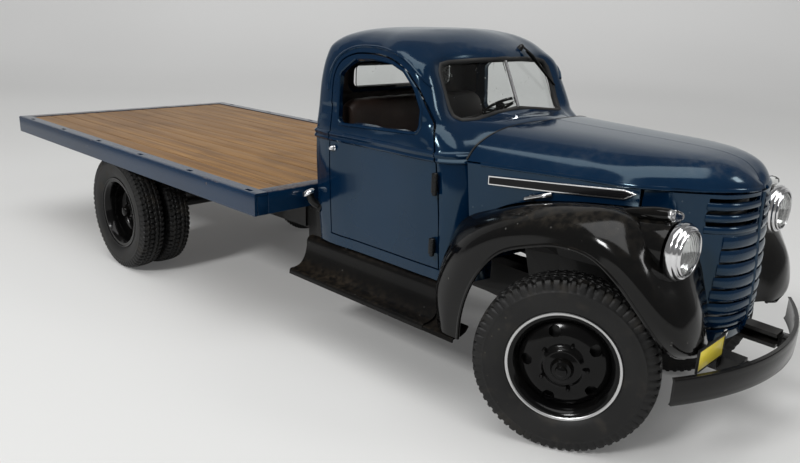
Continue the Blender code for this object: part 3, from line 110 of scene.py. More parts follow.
class Finish:
    """The finish of one surface, for a slot: a Principled shader and the nodes that feed it."""

    def __init__(self, name, slot):
        self.slot = slot
        self.made = bpy.data.materials.new(name)
        self.made.use_nodes = True
        self.nodes = self.made.node_tree.nodes
        self.links = self.made.node_tree.links
        self.shader = self.nodes["Principled BSDF"]
        self.place = self.node("ShaderNodeTexCoord", out="Object")

    def node(self, kind, sockets=None, out=0, **settings):
        made = self.nodes.new(kind)
        for name, value in settings.items():
            setattr(made, name, value)
        for key, value in (sockets or {}).items():
            self.feed(made.inputs[key], value)
        return Signal(self, made.outputs[out])

    def feed(self, socket, value):
        if isinstance(value, Signal):
            self.links.new(value.socket, socket)
        elif socket.type == "RGBA" and len(value) == 3:
            socket.default_value = (*value, 1)
        else:
            socket.default_value = value

    def give(self, **values):
        for name, value in values.items():
            self.feed(self.shader.inputs[name.replace("_", " ")], value)
        return self

    def axis(self, letter):
        return self.node("ShaderNodeSeparateXYZ", {0: self.place}, out=letter)

    def facing(self, letter):
        normal = self.node("ShaderNodeNewGeometry", out="Normal")
        return self.node("ShaderNodeSeparateXYZ", {0: normal}, out=letter)

    def noise(self, scale, stretch=(1, 1, 1), detail=3.0):
        place = self.node("ShaderNodeVectorMath", {0: self.place, 1: stretch}, operation="MULTIPLY")
        return self.node("ShaderNodeTexNoise", {"Vector": place, "Scale": scale, "Detail": detail})

    def specks(self, scale, size):
        """Small round marks: 1 on a mark, 0 elsewhere."""
        near = self.node("ShaderNodeTexVoronoi", {"Vector": self.place, "Scale": scale},
                         out="Distance")
        return 1 - near.above(size * 0.6, size)

    def bump(self, height, distance, strength=1.0):
        normal = self.node("ShaderNodeBump", {"Height": height, "Distance": distance,
                                              "Strength": strength}, out="Normal")
        return self.give(Normal=normal)


def bend(points, counts, closed=False):
    """A smooth line through the points, with counts[i] steps from point i to the next."""
    points = [Vector(point) for point in points]
    size = len(points)
    spans = size if closed else size - 1
    if isinstance(counts, int):
        counts = [counts] * spans

    def point(index):
        return points[index % size] if closed else points[min(max(index, 0), size - 1)]

    def slope(index):
        before, here, after = point(index - 1), point(index), point(index + 1)
        first, second = max((here - before).length, 1e-9), max((after - here).length, 1e-9)
        if first < 1e-8:
            return (after - here) / second
        if second < 1e-8:
            return (here - before) / first
        return ((after - here) / second * first
                + (here - before) / first * second) / (first + second)

    fine = []
    for index in range(spans):
        start, end = point(index), point(index + 1)
        reach = (end - start).length
        lean_out, lean_in = slope(index) * reach, slope(index + 1) * reach
        for step in range(counts[index]):
            t = step / counts[index]
            fine.append(start * (2 * t ** 3 - 3 * t ** 2 + 1) + lean_out * (t ** 3 - 2 * t ** 2 + t)
                        + end * (3 * t ** 2 - 2 * t ** 3) + lean_in * (t ** 3 - t ** 2))
    fine.append(point(spans).copy())
    return fine


def skin(rows):
    """A sheet whose grid of points lies on the rows."""
    made = bmesh.new()
    across, along = len(rows[0]), len(rows)
    bmesh.ops.create_grid(made, x_segments=across - 1, y_segments=along - 1, size=1)
    made.verts.ensure_lookup_table()
    for index, vert in enumerate(made.verts):
        vert.co = rows[index // across][index % across]
    bmesh.ops.remove_doubles(made, verts=made.verts, dist=0.00001)
    loose = [face for face in made.faces if face.calc_area() < 1e-13]
    bmesh.ops.delete(made, geom=loose, context="FACES_ONLY")
    return made


def add(shape):
    bpy.context.scene.collection.objects.link(shape)
    return shape


PAPER_DARK, PAPER_LIGHT, PAPER_GLOW = (0.60, 0.60, 0.59), (0.66, 0.66, 0.65), (0.27, 0.27, 0.27)
# Columns: distance away from the camera, height
SWEEP = ((-3.0, 0), (0.9, 0), (1.2, 0.02), (1.5, 0.12), (1.75, 0.35), (1.85, 0.7), (1.9, 2.5))
SWEEP_HALF = 4


def paper_sweep():
    paper = Finish("paper_sweep", "")
    soft = paper.noise(1.5, detail=1.0)
    tone = soft.above(0.3, 0.7).blend(PAPER_DARK, PAPER_LIGHT)
    away = Vector((-back.x, -back.y, 0)).normalized()
    beside = Vector((away.y, -away.x, 0))
    distance = paper.node("ShaderNodeVectorMath", {0: paper.place, 1: away}, out="Value",
                          operation="DOT_PRODUCT")
    # Painted light: the sweep glows for camera, glossy and transmission rays, faintly near the
    # camera and more strongly further away, so that its far part looks brighter than the lamps make
    # it.
    seen = paper.node("ShaderNodeLightPath", out="Is Camera Ray")
    for kind in ("Is Glossy Ray", "Is Transmission Ray"):
        seen = seen.maths("MAXIMUM", seen, paper.node("ShaderNodeLightPath", out=kind))
    glow = (seen * (distance.above(0.3, 1.7) * 0.75 + 0.25)).blend((0, 0, 0), PAPER_GLOW)
    paper.give(Base_Color=tone, Roughness=0.9, Specular_IOR_Level=0.1, Emission_Color=glow,
               Emission_Strength=1.0)
    rows = []
    for point in bend([(reach, height, 0) for reach, height in SWEEP], 8):
        reach, height = point.x, max(point.y, 0)
        rows.append([away * reach + beside * side + Vector((0, 0, height))
                     for side in (-SWEEP_HALF, 0, SWEEP_HALF)])
    mesh = bpy.data.meshes.new("paper_sweep")
    skin(rows).to_mesh(mesh)
    mesh.materials.append(paper.made)
    mesh.shade_smooth()
    add(bpy.data.objects.new("paper_sweep", mesh))


def lamp(name, place, target, size, power):
    light = bpy.data.lights.new(name, "AREA")
    light.shape = "RECTANGLE"
    light.size, light.size_y = size
    light.energy = power
    hung = add(bpy.data.objects.new(name, light))
    place = Vector(place)
    hung.matrix_world = Matrix.Translation(place) @ toward(place - Vector(target))


paper_sweep()
lamp("ceiling", (0.25, -0.30, 1.35), (0, 0, 0), (1.5, 1.0), 13.0)
lamp("window", (1.1, 0.45, 0.75), (0, 0, 0.05), (0.22, 0.30), 2.0)
lamp("front", (0.20, -1.25, 0.95), (0, 0, 0.02), (0.30, 0.24), 12)
sky = bpy.data.worlds.new("room")
sky.use_nodes = True
light_of_room = sky.node_tree.nodes["Background"]
light_of_room.inputs["Color"].default_value = (1, 1, 1, 1)
light_of_room.inputs["Strength"].default_value = 0.19
bpy.context.scene.world = sky


# Cab shell
# The cab is one welded steel pressing from sill to roof, painted in deep blue enamel. The side
# and belt mouldings are pressed into it, and a drip rail is laid over each door.

SIDES = (("right", -1), ("left", 1))


def mm(table):
    """The same table with its millimetres turned into metres."""
    if isinstance(table, (list, tuple)):
        return type(table)(mm(item) for item in table)
    return table and table / 1000


def smooth_rows(rows, across, along, closed=False):
    fine = [bend(row, across, closed) for row in rows]
    columns = [bend(column, along) for column in zip(*fine)]
    return list(zip(*columns))


def outwards(made, inside):
    """Turn an open sheet so that its faces look away from a place."""
    bmesh.ops.recalc_face_normals(made, faces=made.faces)
    total = sum((face.calc_center_median() - Vector(inside)).dot(face.normal) * face.calc_area()
                for face in made.faces)
    if total < 0:
        bmesh.ops.reverse_faces(made, faces=made.faces)
    return made


def piece(name, made, finish, body="chassis", replaces=(), smooth=38, wall=0.0, edge=0.0):
    """Put a finished mesh into the frame, on its body, in its finish."""
    bmesh.ops.translate(made, vec=(AXLE, 0, 0), verts=made.verts)
    mesh = bpy.data.meshes.new(name)
    made.to_mesh(mesh)
    made.free()
    mesh.materials.append(finish.made)
    mesh.shade_smooth()
    mesh.set_sharp_from_angle(angle=radians(smooth))
    shape = add(bpy.data.objects.new(name, mesh))
    if wall:
        step = shape.modifiers.new("wall", "SOLIDIFY")
        step.thickness = wall
        step.offset = -1
        step.use_even_offset = False
    if edge:
        step = shape.modifiers.new("edge", "BEVEL")
        step.width = edge
        step.segments = 2
        step.limit_method = "ANGLE"
        step.angle_limit = radians(50)
        step.harden_normals = True
    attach(shape, body)
    if replaces:
        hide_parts(*replaces)
    return shape


def inside_outline(outline, a, b):
    hit = False
    for (a0, b0), (a1, b1) in zip(outline, outline[1:] + outline[:1]):
        if (b0 > b) != (b1 > b) and a < (a1 - a0) * (b - b0) / (b1 - b0) + a0:
            hit = not hit
    return hit


def trim(made, outline, axis, where, keep=False):
    """Cut the sheet along an outline seen along an axis, where a test of a face's middle holds.

    The faces inside the outline are taken out, or with keep are the only ones that stay."""
    first, second = {"X": (1, 2), "Y": (0, 2), "Z": (0, 1)}[axis]
    low = [min(point[k] for point in outline) - 0.002 for k in (0, 1)]
    high = [max(point[k] for point in outline) + 0.002 for k in (0, 1)]
    for here, there in zip(outline, outline[1:] + outline[:1]):
        near = []
        for face in made.faces:
            middle = face.calc_center_median()
            a, b = middle[first], middle[second]
            if where(middle) and low[0] < a < high[0] and low[1] < b < high[1]:
                near.append(face)
        geometry = near + list(dict.fromkeys(edge for face in near for edge in face.edges))
        geometry += list(dict.fromkeys(vert for face in near for vert in face.verts))
        normal, point = Vector((0, 0, 0)), Vector((0, 0, 0))
        normal[first], normal[second] = there[1] - here[1], here[0] - there[0]
        point[first], point[second] = here
        bmesh.ops.bisect_plane(made, geom=geometry, dist=1e-7, plane_co=point, plane_no=normal)
    gone = []
    for face in made.faces:
        middle = face.calc_center_median()
        inside = where(middle) and inside_outline(outline, middle[first], middle[second])
        if inside != keep:
            gone.append(face)
    bmesh.ops.delete(made, geom=gone, context="FACES")


def moved_out(outline, amount):
    """The outline moved out along its corners' bisectors."""
    points = [Vector(point) for point in outline]
    area = sum(a.x * b.y - b.x * a.y for a, b in zip(points, points[1:] + points[:1]))
    turn = 1 if area > 0 else -1
    moved = []
    for index, here in enumerate(points):
        before = (here - points[index - 1]).normalized()
        after = (points[(index + 1) % len(points)] - here).normalized()
        normal = (Vector((before.y, -before.x)) + Vector((after.y, -after.x))) * turn
        normal.normalize()
        share = max(normal.dot(Vector((after.y, -after.x)) * turn), 0.5)
        moved.append(tuple(here + normal * amount / share))
    return moved


def rounded(corners, radius, steps=6):
    points = []
    for index, corner in enumerate(corners):
        here = Vector(corner)
        before = (Vector(corners[index - 1]) - here).normalized()
        after = (Vector(corners[(index + 1) % len(corners)]) - here).normalized()
        half = before.angle(after) / 2
        reach = radius / abs(sin(half) / cos(half))
        first, last = here + before * reach, here + after * reach
        centre = here + (before + after).normalized() * (radius / sin(half))
        for step in range(steps + 1):
            toward = first.lerp(last, step / steps) - centre
            points.append(tuple(centre + toward.normalized() * radius))
    return points


def enamel(name, slot, deep, light, roughness, dust=0.25, dust_colour=(0.20, 0.19, 0.17),
           sheen=0.4, tint=(1, 1, 1)):
    """Glossy enamel with fine dust in it and a little unevenness of its shine."""
    paint_job = Finish(name, slot)
    cloud = paint_job.noise(22, detail=4)
    fine = paint_job.noise(420, detail=2)
    lying = paint_job.facing("Z").above(0.25, 1.0) * cloud.above(0.35, 0.8)
    fleck = paint_job.specks(260, 0.10) * paint_job.noise(60).above(0.50, 0.75)
    film = lying * fine.above(0.35, 0.7) * dust
    colour = film.blend(cloud.above(0.3, 0.7).blend(deep, light), dust_colour)
    colour = (fleck * dust * 0.9).blend(colour, (0.42, 0.41, 0.38))
    uneven = film * 0.5 + cloud.above(0.2, 0.9) * 0.06
    return paint_job.give(Base_Color=colour, Roughness=uneven + roughness, Specular_IOR_Level=sheen,
                          Specular_Tint=tint, Coat_Weight=0.12, Coat_Roughness=0.06, Coat_Tint=tint)


def blue_enamel(name, roughness, dust, deep=(0.0008, 0.0105, 0.0310),
                light=(0.0012, 0.0140, 0.0400)):
    return enamel(name, "blue_paint", deep, light, roughness, dust, tint=(0.62, 0.88, 1.0))


BLUE = blue_enamel("deep_blue_enamel", 0.11, 0.10)

CAB_REAR, CAB_HALF, ROOF_CROWN = -0.1221, 0.0470, Vector((-0.0900, 0, 0.1304))
SCREEN_BASE_X, SCREEN_BASE_Z, SCREEN_V, SCREEN_RAKE = -0.0548, 0.1015, 0.16, 0.46

# Columns: height, rear inset, side inset, rear corner radius, front half outline from the side
CAB_LEVELS = mm((
    (44, 1.5, 1.5, 5.5,
     ((-56, 45.5), (-50, 45.2), (-46.2, 42.5), (-44, 39.2), (-40.5, 22), (-38.6, 0))),
    (62, 0.4, 0.6, 5.5,
     ((-57, 46.4), (-50.5, 45.8), (-46.4, 43), (-44.2, 39.6), (-40.5, 22), (-38.6, 0))),
    (86, 0, 0, 5.5,
     ((-59, 47), (-53.5, 46.2), (-49.2, 43.6), (-46.2, 40), (-41.2, 22), (-38.6, 0))),
    (92, 0, 0.3, 5.5,
     ((-60, 46.5), (-55, 45.3), (-51.3, 42.6), (-48.6, 38), (-41.2, 21), (-38.6, 0))),
    (96.2, 0.1, 0.8, 5.5,
     ((-62, 45.8), (-56.7, 44.1), (-54.3, 41), (-52.5, 35), (-42.5, 20), (-38.9, 0))),
    (99, 0.2, 1.1, 5.6,
     ((-63.5, 45.3), (-59.5, 43.8), (-57.4, 40.5), (-56, 33), (-47, 18), (-40.5, 0))),
))
CAB_SILL = CAB_LEVELS[0][0]
# The same columns, with the x where the front outline leaves the side
SCREEN_LEVELS = mm((
    (101.6, 0.2, 1.3, 5.7, -65),
    (110, 0.5, 1.9, 6.2, -69),
    (118.5, 1, 3.4, 7.5, -73.2),
))
# The same columns, with the x of the front's middle
ROOF_LEVELS = mm((
    (122.2, 1.3, 4.8, 8.5, -64.8),
    (125.2, 2.7, 7.8, 10, -68.4),
    (127.8, 6, 12.8, 12, -73),
    (129.5, 11.8, 21, 11, -77.6),
    (130.2, 19, 30.5, 6, -80.5),
))


def screen_x(y, z):
    return SCREEN_BASE_X - SCREEN_V * abs(y) - SCREEN_RAKE * (z - SCREEN_BASE_Z)


def cab_rings():
    """The cab's outlines from the sill up, each from the rear middle round the left side."""
    levels = list(CAB_LEVELS)
    for z, rear, side, corner, side_x in SCREEN_LEVELS:
        side_y = CAB_HALF - side
        levels.append((z, rear, side, corner,
                       ((side_x, side_y), (side_x + 0.0042, side_y - 0.0016),
                        (side_x + 0.0060, side_y - 0.0050), (screen_x(0.0310, z), 0.0310),
                        (screen_x(0.0150, z), 0.0150), (screen_x(0, z), 0))))
    for z, rear, side, corner, front in ROOF_LEVELS:
        y = CAB_HALF - side
        span = min(0.0120, (front - CAB_REAR - rear) * 0.4)
        x = front - span
        levels.append((z, rear, side, corner,
                       ((x, y), (x + span * 0.29, y * 0.94), (x + span * 0.52, y * 0.82),
                        (x + span * 0.67, y * 0.62), (front - 0.0012, y * 0.33), (front, 0))))
    rings = []
    for z, rear_inset, side_inset, corner, front in levels:
        rear, half = CAB_REAR + rear_inset, CAB_HALF - side_inset
        ring = [(rear, 0), (rear, (half - corner) * 0.6)]
        for step in range(4):
            angle = pi / 2 * step / 3
            ring.append((rear + corner - corner * cos(angle), half - corner + corner * sin(angle)))
        start = rear + corner
        for share in (0.34, 0.67):
            ring.append((start + (front[0][0] - start) * share,
                         half + (front[0][1] - half) * share))
        ring += list(front)
        ring += [(x, -y) for x, y in ring[-2:0:-1]]
        rings.append([Vector((x, y, z)) for x, y in ring])
    rings.append([ROOF_CROWN] * len(rings[0]))
    return rings


BELT_LOW, BELT_HIGH, BELT_RISE, BELT_FRONT_X = 0.0864, 0.0902, 0.0010, -0.0450
BELT_SLOPE, VALLEY_HALF, VALLEY_SHARE = 0.0006, 0.0008, 0.65
# The widest part of the side is pressed in by a little
BULGE_Y, BULGE_CUT = 0.0463, 0.00045


def clamped(value):
    return min(max(value, 0), 1)


def cab_skin():
    """The whole outer surface, with the belt moulding pressed out of its back and sides."""
    rows = smooth_rows(cab_rings(), 5, [3, 4, 14, 4, 4, 5, 5, 6, 5, 5, 5, 4, 3, 4], closed=True)
    made = skin(rows)
    outwards(made, (-0.0850, 0, 0.0900))
    made.normal_update()
    for vert in made.verts:
        z = vert.co.z
        band = clamped((z - BELT_LOW) / BELT_SLOPE) * clamped((BELT_HIGH - z) / BELT_SLOPE)
        off_middle = abs(z - (BELT_LOW + BELT_HIGH) / 2)
        valley = 1 - clamped(1 - off_middle / VALLEY_HALF) * VALLEY_SHARE
        normal = Vector((vert.normal.x, vert.normal.y, 0))
        if vert.co.x < BELT_FRONT_X:
            cut = BULGE_CUT * (abs(vert.co.y) > BULGE_Y)
            vert.co += normal * BELT_RISE * band * valley - normal * cut
    made.normal_update()
    return made


cab_surface = cab_skin()
cab_tree = BVHTree.FromBMesh(cab_surface)


def on_cab(x, z, side):
    """The place and normal of the cab's side at a place along and a height."""
    place, normal, _, _ = cab_tree.ray_cast(Vector((x, side * 0.3, z)), Vector((0, -side, 0)))
    return place, normal


def on_front(y, z, forward=1):
    place, normal, _, _ = cab_tree.ray_cast(Vector((forward * 0.3, y, z)), Vector((-forward, 0, 0)))
    return place, normal


CAB_SIDE_Y, CAB_FRONT_X, CAB_BACK_X, SCREEN_MIDDLE = mm((30, -80, -100, (-80, 0, 110)))


def beyond(side):
    """A test of whether a place lies in one side wall of the cab."""
    return lambda middle: middle.y * side > CAB_SIDE_Y


def in_front(middle):
    return middle.x > CAB_FRONT_X


def at_back(middle):
    return middle.x < CAB_BACK_X


def anywhere(middle):
    return True


def cleared(made, height):
    """Take out the faces whose middles lie under a height."""
    low = [face for face in made.faces if face.calc_center_median().z < height]
    bmesh.ops.delete(made, geom=low, context="FACES")


def rounded_line(profile, steps=3):
    return [(p.x, p.y) for p in bend([Vector((a, b, 0)) for a, b in profile], steps)]


DOOR_POINTS = mm(((-110.5, 48), (-110.5, 78), (-110.5, 106), (-109.8, 113), (-107, 117.6),
                  (-102, 120.2), (-94, 121.1), (-86, 120.8), (-79, 119.6), (-72.5, 116.5),
                  (-67, 111.8), (-62.2, 105.5), (-57.8, 97.6), (-54.5, 87), (-51.4, 53),
                  (-51.1, 48)))
DOOR_OUTLINE = rounded_line(DOOR_POINTS, [1, 1, 3, 3, 3, 3, 2, 2, 2, 3, 3, 3, 3, 3, 1])
WINDOW_OUTLINE = rounded(mm([(-106.4, 93.8), (-106.6, 113), (-100, 118.3), (-90, 118.9),
                             (-80, 118.1), (-73.5, 115.8), (-68, 110.5), (-64, 103.5),
                             (-64, 95.6)]), 0.0024, steps=4)
SCREEN_SIDE = mm(((0, 102.4), (12, 101.4), (25, 100), (31.2, 99.8), (33.1, 101.2), (33.6, 104.5),
                  (33.8, 111), (33.4, 116), (31.8, 118.2), (28, 118.9), (15, 119.6), (0, 120)))
SCREEN_OUTLINE = list(SCREEN_SIDE) + [(-y, z) for y, z in SCREEN_SIDE[-2:0:-1]]
REAR_WINDOW = rounded(mm([(-29, 104.5), (29, 104.5), (29, 115.5), (-29, 115.5)]), 0.0035)
FRAME_NOTCH = mm([(-28.5, 30), (28.5, 30), (28.5, 51.3), (-28.5, 51.3)])

shell = cab_surface.copy()
for _, side in SIDES:
    trim(shell, DOOR_OUTLINE, "Y", beyond(side))
trim(shell, SCREEN_OUTLINE, "X", in_front)
trim(shell, REAR_WINDOW, "X", at_back)
trim(shell, FRAME_NOTCH, "X", anywhere)
cleared(shell, CAB_SILL + 0.00001)
piece("cab_shell", shell, BLUE, replaces=("cab_roof", "cab_back", "cab_cowl"), wall=0.0016,
      edge=0.0003)


# Cab mouldings
# The drip rails are thin strips of steel, soldered to the roof over the doors and painted with
# it.

def capped(made):
    """Close the sheet's open ends and turn its faces outwards."""
    ends = [edge for edge in made.edges if len(edge.link_faces) == 1]
    bmesh.ops.holes_fill(made, edges=ends, sides=0)
    bmesh.ops.recalc_face_normals(made, faces=made.faces)
    return made


def moulding(points, width, height, closed=False, sides=8, normal=None):
    """A bar of oval section along a line, with its height along the surface's normal."""
    rows = []
    size = len(points)
    for index, here in enumerate(points):
        here = Vector(here)
        after = Vector(points[(index + 1) % size if closed else min(index + 1, size - 1)])
        before = Vector(points[index - 1 if closed or index else 0])
        along = (after - before).normalized()
        out = Vector(normal[index] if isinstance(normal, list) else normal)
        across = along.cross(out).normalized()
        out = across.cross(along).normalized()
        rows.append([here + across * (width / 2 * cos(2 * pi * side / sides))
                     + out * (height / 2 * sin(2 * pi * side / sides))
                     for side in range(sides + 1)])
    if closed:
        rows.append(rows[0])
    made = skin(rows)
    if not closed:
        return capped(made)
    bmesh.ops.recalc_face_normals(made, faces=made.faces)
    return made


def along_side(outline, side):
    hits = [on_cab(x, z, side) for x, z in outline]
    return [place for place, _ in hits], [normal for _, normal in hits]


RAIL_GAP, RAIL_FOOT, RAIL_Y = 0.0021, 0.1020, 0.0340
for word, side in SIDES:
    over = [(x, z) for x, z in moved_out(DOOR_OUTLINE, RAIL_GAP)
            if z > RAIL_FOOT and abs(on_cab(x, z, side)[0].y) > RAIL_Y]
    places, normals = along_side(over, side)
    rail = moulding(places, 0.0011, 0.0013, normal=normals)
    piece(f"drip_rail_{word}", rail, BLUE)


# Windscreen and rear window
# The windscreen is two flat panes in one black rubber gasket, with a bright strip over the
# joint. The rear pane sits in a gasket of its own.

def paint(node, finish):
    """Give a CAD node its finish."""
    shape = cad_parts[node]
    shape.data.materials.clear()
    shape.data.materials.append(finish.made)


def rubber(name, tone, rough=0.62):
    made = Finish(name, "chassis_black")
    patch = made.noise(90, detail=4)
    fine = made.noise(900, detail=2)
    dusty = made.facing("Z").above(0.1, 1.0) * patch.above(0.4, 0.7) * 0.25
    made.give(Base_Color=dusty.blend(patch.above(0.3, 0.7).blend(tone, [c * 1.5 for c in tone]),
                                     (0.13, 0.125, 0.115)),
              Roughness=patch * 0.15 + rough, Specular_IOR_Level=0.35)
    return made.bump(fine, 0.00004, 0.5)


def plating(name, tone=(0.72, 0.72, 0.73), rough=0.10):
    made = Finish(name, "chrome")
    patch = made.noise(150, detail=4)
    pit = made.specks(900, 0.12) * patch.above(0.5, 0.7)
    made.give(Base_Color=pit.blend(tone, (0.25, 0.22, 0.18)), Metallic=1.0,
              Roughness=patch * 0.08 + pit * 0.3 + rough)
    return made


def clear_pane(name, tone=(0.86, 0.89, 0.88)):
    made = Finish(name, "glass")
    speck = made.specks(420, 0.16) * made.noise(70).above(0.42, 0.62)
    smear = made.noise(40, stretch=(1, 1, 0.3), detail=4).above(0.45, 0.85)
    made.give(Base_Color=(speck * 0.5).blend(tone, (0.55, 0.53, 0.48)), IOR=1.25,
              Transmission_Weight=1.0, Roughness=smear * 0.10 + speck * 0.4 + 0.02)
    return made


GASKET = rubber("gasket_rubber", (0.010, 0.010, 0.010))
CHROME = plating("bright_plating")
PANE = clear_pane("dusty_pane")
paint("windscreen_glass", PANE)
paint("rear_window_glass", PANE)


def gasket(outline, ways, forward):
    rows = []
    for out, proud in ways:
        row = []
        for (_, level), (y, z), (_, slope) in zip(outline, moved_out(outline, out),
                                                  [on_front(*point, forward) for point in outline]):
            place, normal = on_front(y, level + (z - level) * max(abs(slope.x), 0.3), forward)
            row.append(place + normal * proud)
        rows.append(row + row[:1])
    return skin(rows)


screen_gasket = gasket(SCREEN_OUTLINE,
                       mm(((-0.8, -1.2), (-0.8, 0.1), (-0.5, 0.4), (0, 0.6), (0.5, 0.5), (0.9, 0.2),
                           (1, -0.2))), 1)
outwards(screen_gasket, SCREEN_MIDDLE)
piece("windscreen_gasket", screen_gasket, GASKET, replaces=("windscreen_frame",), smooth=60)
rear_gasket = gasket(REAR_WINDOW, mm(((-1.2, -4), (-1.1, 0.1), (-0.4, 0.5), (0.6, 0.5), (1, -0.2))),
                     -1)
outwards(rear_gasket, SCREEN_MIDDLE)
piece("rear_window_gasket", rear_gasket, GASKET, smooth=60)
STRIP_HEIGHTS = (0.1028, 0.1060, 0.1100, 0.1140, 0.1194)
strip_line = [Vector((screen_x(0, z) + 0.0002, 0, z)) for z in STRIP_HEIGHTS]
strip = moulding(strip_line, 0.0012, 0.0012, normal=Vector((1, 0, 0.46)))
piece("windscreen_strip", strip, CHROME)


# Wiper
# One wiper hangs from a pivot above the driver's pane, a pressed steel arm with a rubber blade.

def together(*meshes):
    """Several meshes as one."""
    whole = bmesh.new()
    for made in meshes:
        mesh = bpy.data.meshes.new("part")
        made.to_mesh(mesh)
        made.free()
        whole.from_mesh(mesh)
        bpy.data.meshes.remove(mesh)
    return whole


def lathe(profile, steps, axis_place=(0, 0, 0), turn=None):
    """A profile of radius and height pairs, spun round Z, then turned and put in its place."""
    made = bmesh.new()
    verts = [made.verts.new((radius, 0, height)) for radius, height in profile]
    edges = [made.edges.new(pair) for pair in zip(verts, verts[1:])]
    bmesh.ops.spin(made, geom=verts + edges, cent=(0, 0, 0), axis=(0, 0, 1), angle=2 * pi,
                   steps=steps, use_merge=True)
    bmesh.ops.remove_doubles(made, verts=made.verts, dist=0.000005)
    bmesh.ops.recalc_face_normals(made, faces=made.faces)
    if turn is not None:
        bmesh.ops.transform(made, matrix=turn, verts=made.verts)
    bmesh.ops.translate(made, vec=axis_place, verts=made.verts)
    return made


pivot, pivot_normal = on_front(0.0148, 0.1234)
tip, tip_normal = on_front(0.0336, 0.1084)
arm_line = [pivot + pivot_normal * 0.0015]
arm_line += [pivot.lerp(tip, share) + tip_normal * off
             for share, off in ((0.25, 0.0030), (0.60, 0.0021))]
arm = moulding(arm_line, 0.0010, 0.0007, normal=tip_normal, sides=6)
blade_line = [pivot.lerp(tip, share) + tip_normal * off
              for share, off in ((0.10, 0.0020), (0.5, 0.0017), (1, 0.0011))]
blade = moulding(blade_line, 0.0006, 0.0012, normal=tip_normal, sides=6)
knob = lathe(mm([(0, 2.2), (0.7, 2), (1.1, 1.4), (1.2, 0.2), (1.4, -0.4), (0, -0.4)]), 16, pivot,
             toward(pivot_normal))
STEEL_BLACK = enamel("satin_black_paint", "chassis_black", (0.004, 0.004, 0.004),
                     (0.008, 0.008, 0.008), 0.34, dust=0.25, dust_colour=(0.10, 0.09, 0.075),
                     sheen=0.22)
piece("wiper_arm", together(arm, blade, knob), STEEL_BLACK, replaces=("wiper",))


# Doors
# Each door is a pressing on two outside hinges, with its window's edge turned in, and a small
# bright handle at its rear edge.

def box(low, high, edge=0.0):
    made = bmesh.new()
    low, high = Vector(low), Vector(high)
    bmesh.ops.create_cube(made, size=1)
    bmesh.ops.scale(made, vec=high - low, verts=made.verts)
    bmesh.ops.translate(made, vec=(low + high) / 2, verts=made.verts)
    if edge:
        bmesh.ops.bevel(made, geom=made.edges[:], offset=edge, affect="EDGES", segments=2,
                        profile=0.5, material=-1)
    return made


DOOR_CLEARANCE = 0.0006
HINGE = Vector((-0.0530, 0.0480, 0))
for word, side in SIDES:
    leaf = cab_surface.copy()
    trim(leaf, moved_out(DOOR_OUTLINE, -DOOR_CLEARANCE), "Y", beyond(side), keep=True)
    trim(leaf, WINDOW_OUTLINE, "Y", beyond(side))
    piece(f"door_skin_{word}", leaf, BLUE, f"door_{word}", (f"door_{word}",), wall=0.0022,
          edge=0.0004)
    places, normals = along_side(moved_out(WINDOW_OUTLINE, 0.0004), side)
    lip = moulding(places, 0.0013, 0.0009, closed=True, normal=normals, sides=6)
    piece(f"window_lip_{word}", lip, BLUE, f"door_{word}")
    barrels = []
    for foot, top in ((0.0535, 0.0600), (0.0755, 0.0835)):
        profile = [(0, top), (0.0007, top), (0.0009, top - 0.0002)]
        for step in range(1, 5):
            level = top - (top - foot) * step / 5
            profile += [(0.0009, level + 0.00012), (0.00075, level), (0.0009, level - 0.00012)]
        profile += [(0.0009, foot + 0.0002), (0.0007, foot), (0, foot)]
        barrels.append(lathe(profile, 12, (HINGE.x, side * HINGE.y, 0)))
        leaf_plate = [(HINGE.x - 0.0020, side * (HINGE.y - 0.0026)),
                      (HINGE.x, side * (HINGE.y - 0.0002))]
        low = (leaf_plate[0][0], min(leaf_plate[0][1], leaf_plate[1][1]), foot + 0.0004)
        high = (leaf_plate[1][0] - 0.0004, max(leaf_plate[0][1], leaf_plate[1][1]), top - 0.0004)
        barrels.append(box(low, high, 0.0002))
    piece(f"door_hinges_{word}", together(*barrels), STEEL_BLACK, f"door_{word}")
    place, normal = on_cab(-0.1078, 0.0838, side)
    turn = toward(normal)
    handle = lathe(mm([(0, 2.1), (0.6, 2), (1.1, 1.4), (1.2, 0.9), (0.7, 0.4), (1.1, 0.1),
                       (1.2, -0.2), (0, -0.2)]), 20, place, turn)
    piece(f"door_handle_{word}", handle, CHROME, f"door_{word}")


# Hood
# Two pressed steel halves meet at a hinge along the ridge. A bead runs along each fold, and
# below it sit a long spear of bright trim, left bare, and the hood's latch handle.

HOOD_ROWS = ((0, 0), (0.26, 0.015), (0.50, 0.06), (0.68, 0.17), (0.82, 0.36), (0.93, 0.64), (1, 1))
# Columns: ridge x, ridge z, lower edge x, y, z, side panel's foot y and z
HOOD_STATIONS = mm((
    (-37.9, 99.3, -45.2, 40.2, 87.8, 39.7, 67.4),
    (-27, 98.9, -29, 37.3, 88, 37, 75.7),
    (-7, 98.3, -7, 33.6, 88.4, 33.5, 80.7),
    (13.2, 97.6, 13.2, 30.2, 88.7, 30, 82.6),
    (20, 97.2, 21.5, 25.6, 88.9, None, None),
    (26.5, 96.6, 28.2, 20.3, 89, None, None),
    (31, 95.4, 33.5, 14.3, 89, None, None),
    (34.5, 92.8, 36.6, 7.8, 88.9, None, None),
    (36.2, 90.2, 37.6, 0.2, 88.4, None, None),
))
HOOD_SEAM, HOOD_WALL, NOSE_X, NOSE_TAPER = 0.0003, 0.0009, 0.0350, 0.0140
HOOD_MIDDLE = (-0.0100, 0, 0.0700)


def hood_column(station):
    ridge_x, ridge_z, x, y, z = station[:5]
    return [Vector((ridge_x + (x - ridge_x) * across * across,
                    HOOD_SEAM / 2 + (y - HOOD_SEAM / 2) * across, ridge_z + (z - ridge_z) * down))
            for across, down in HOOD_ROWS]


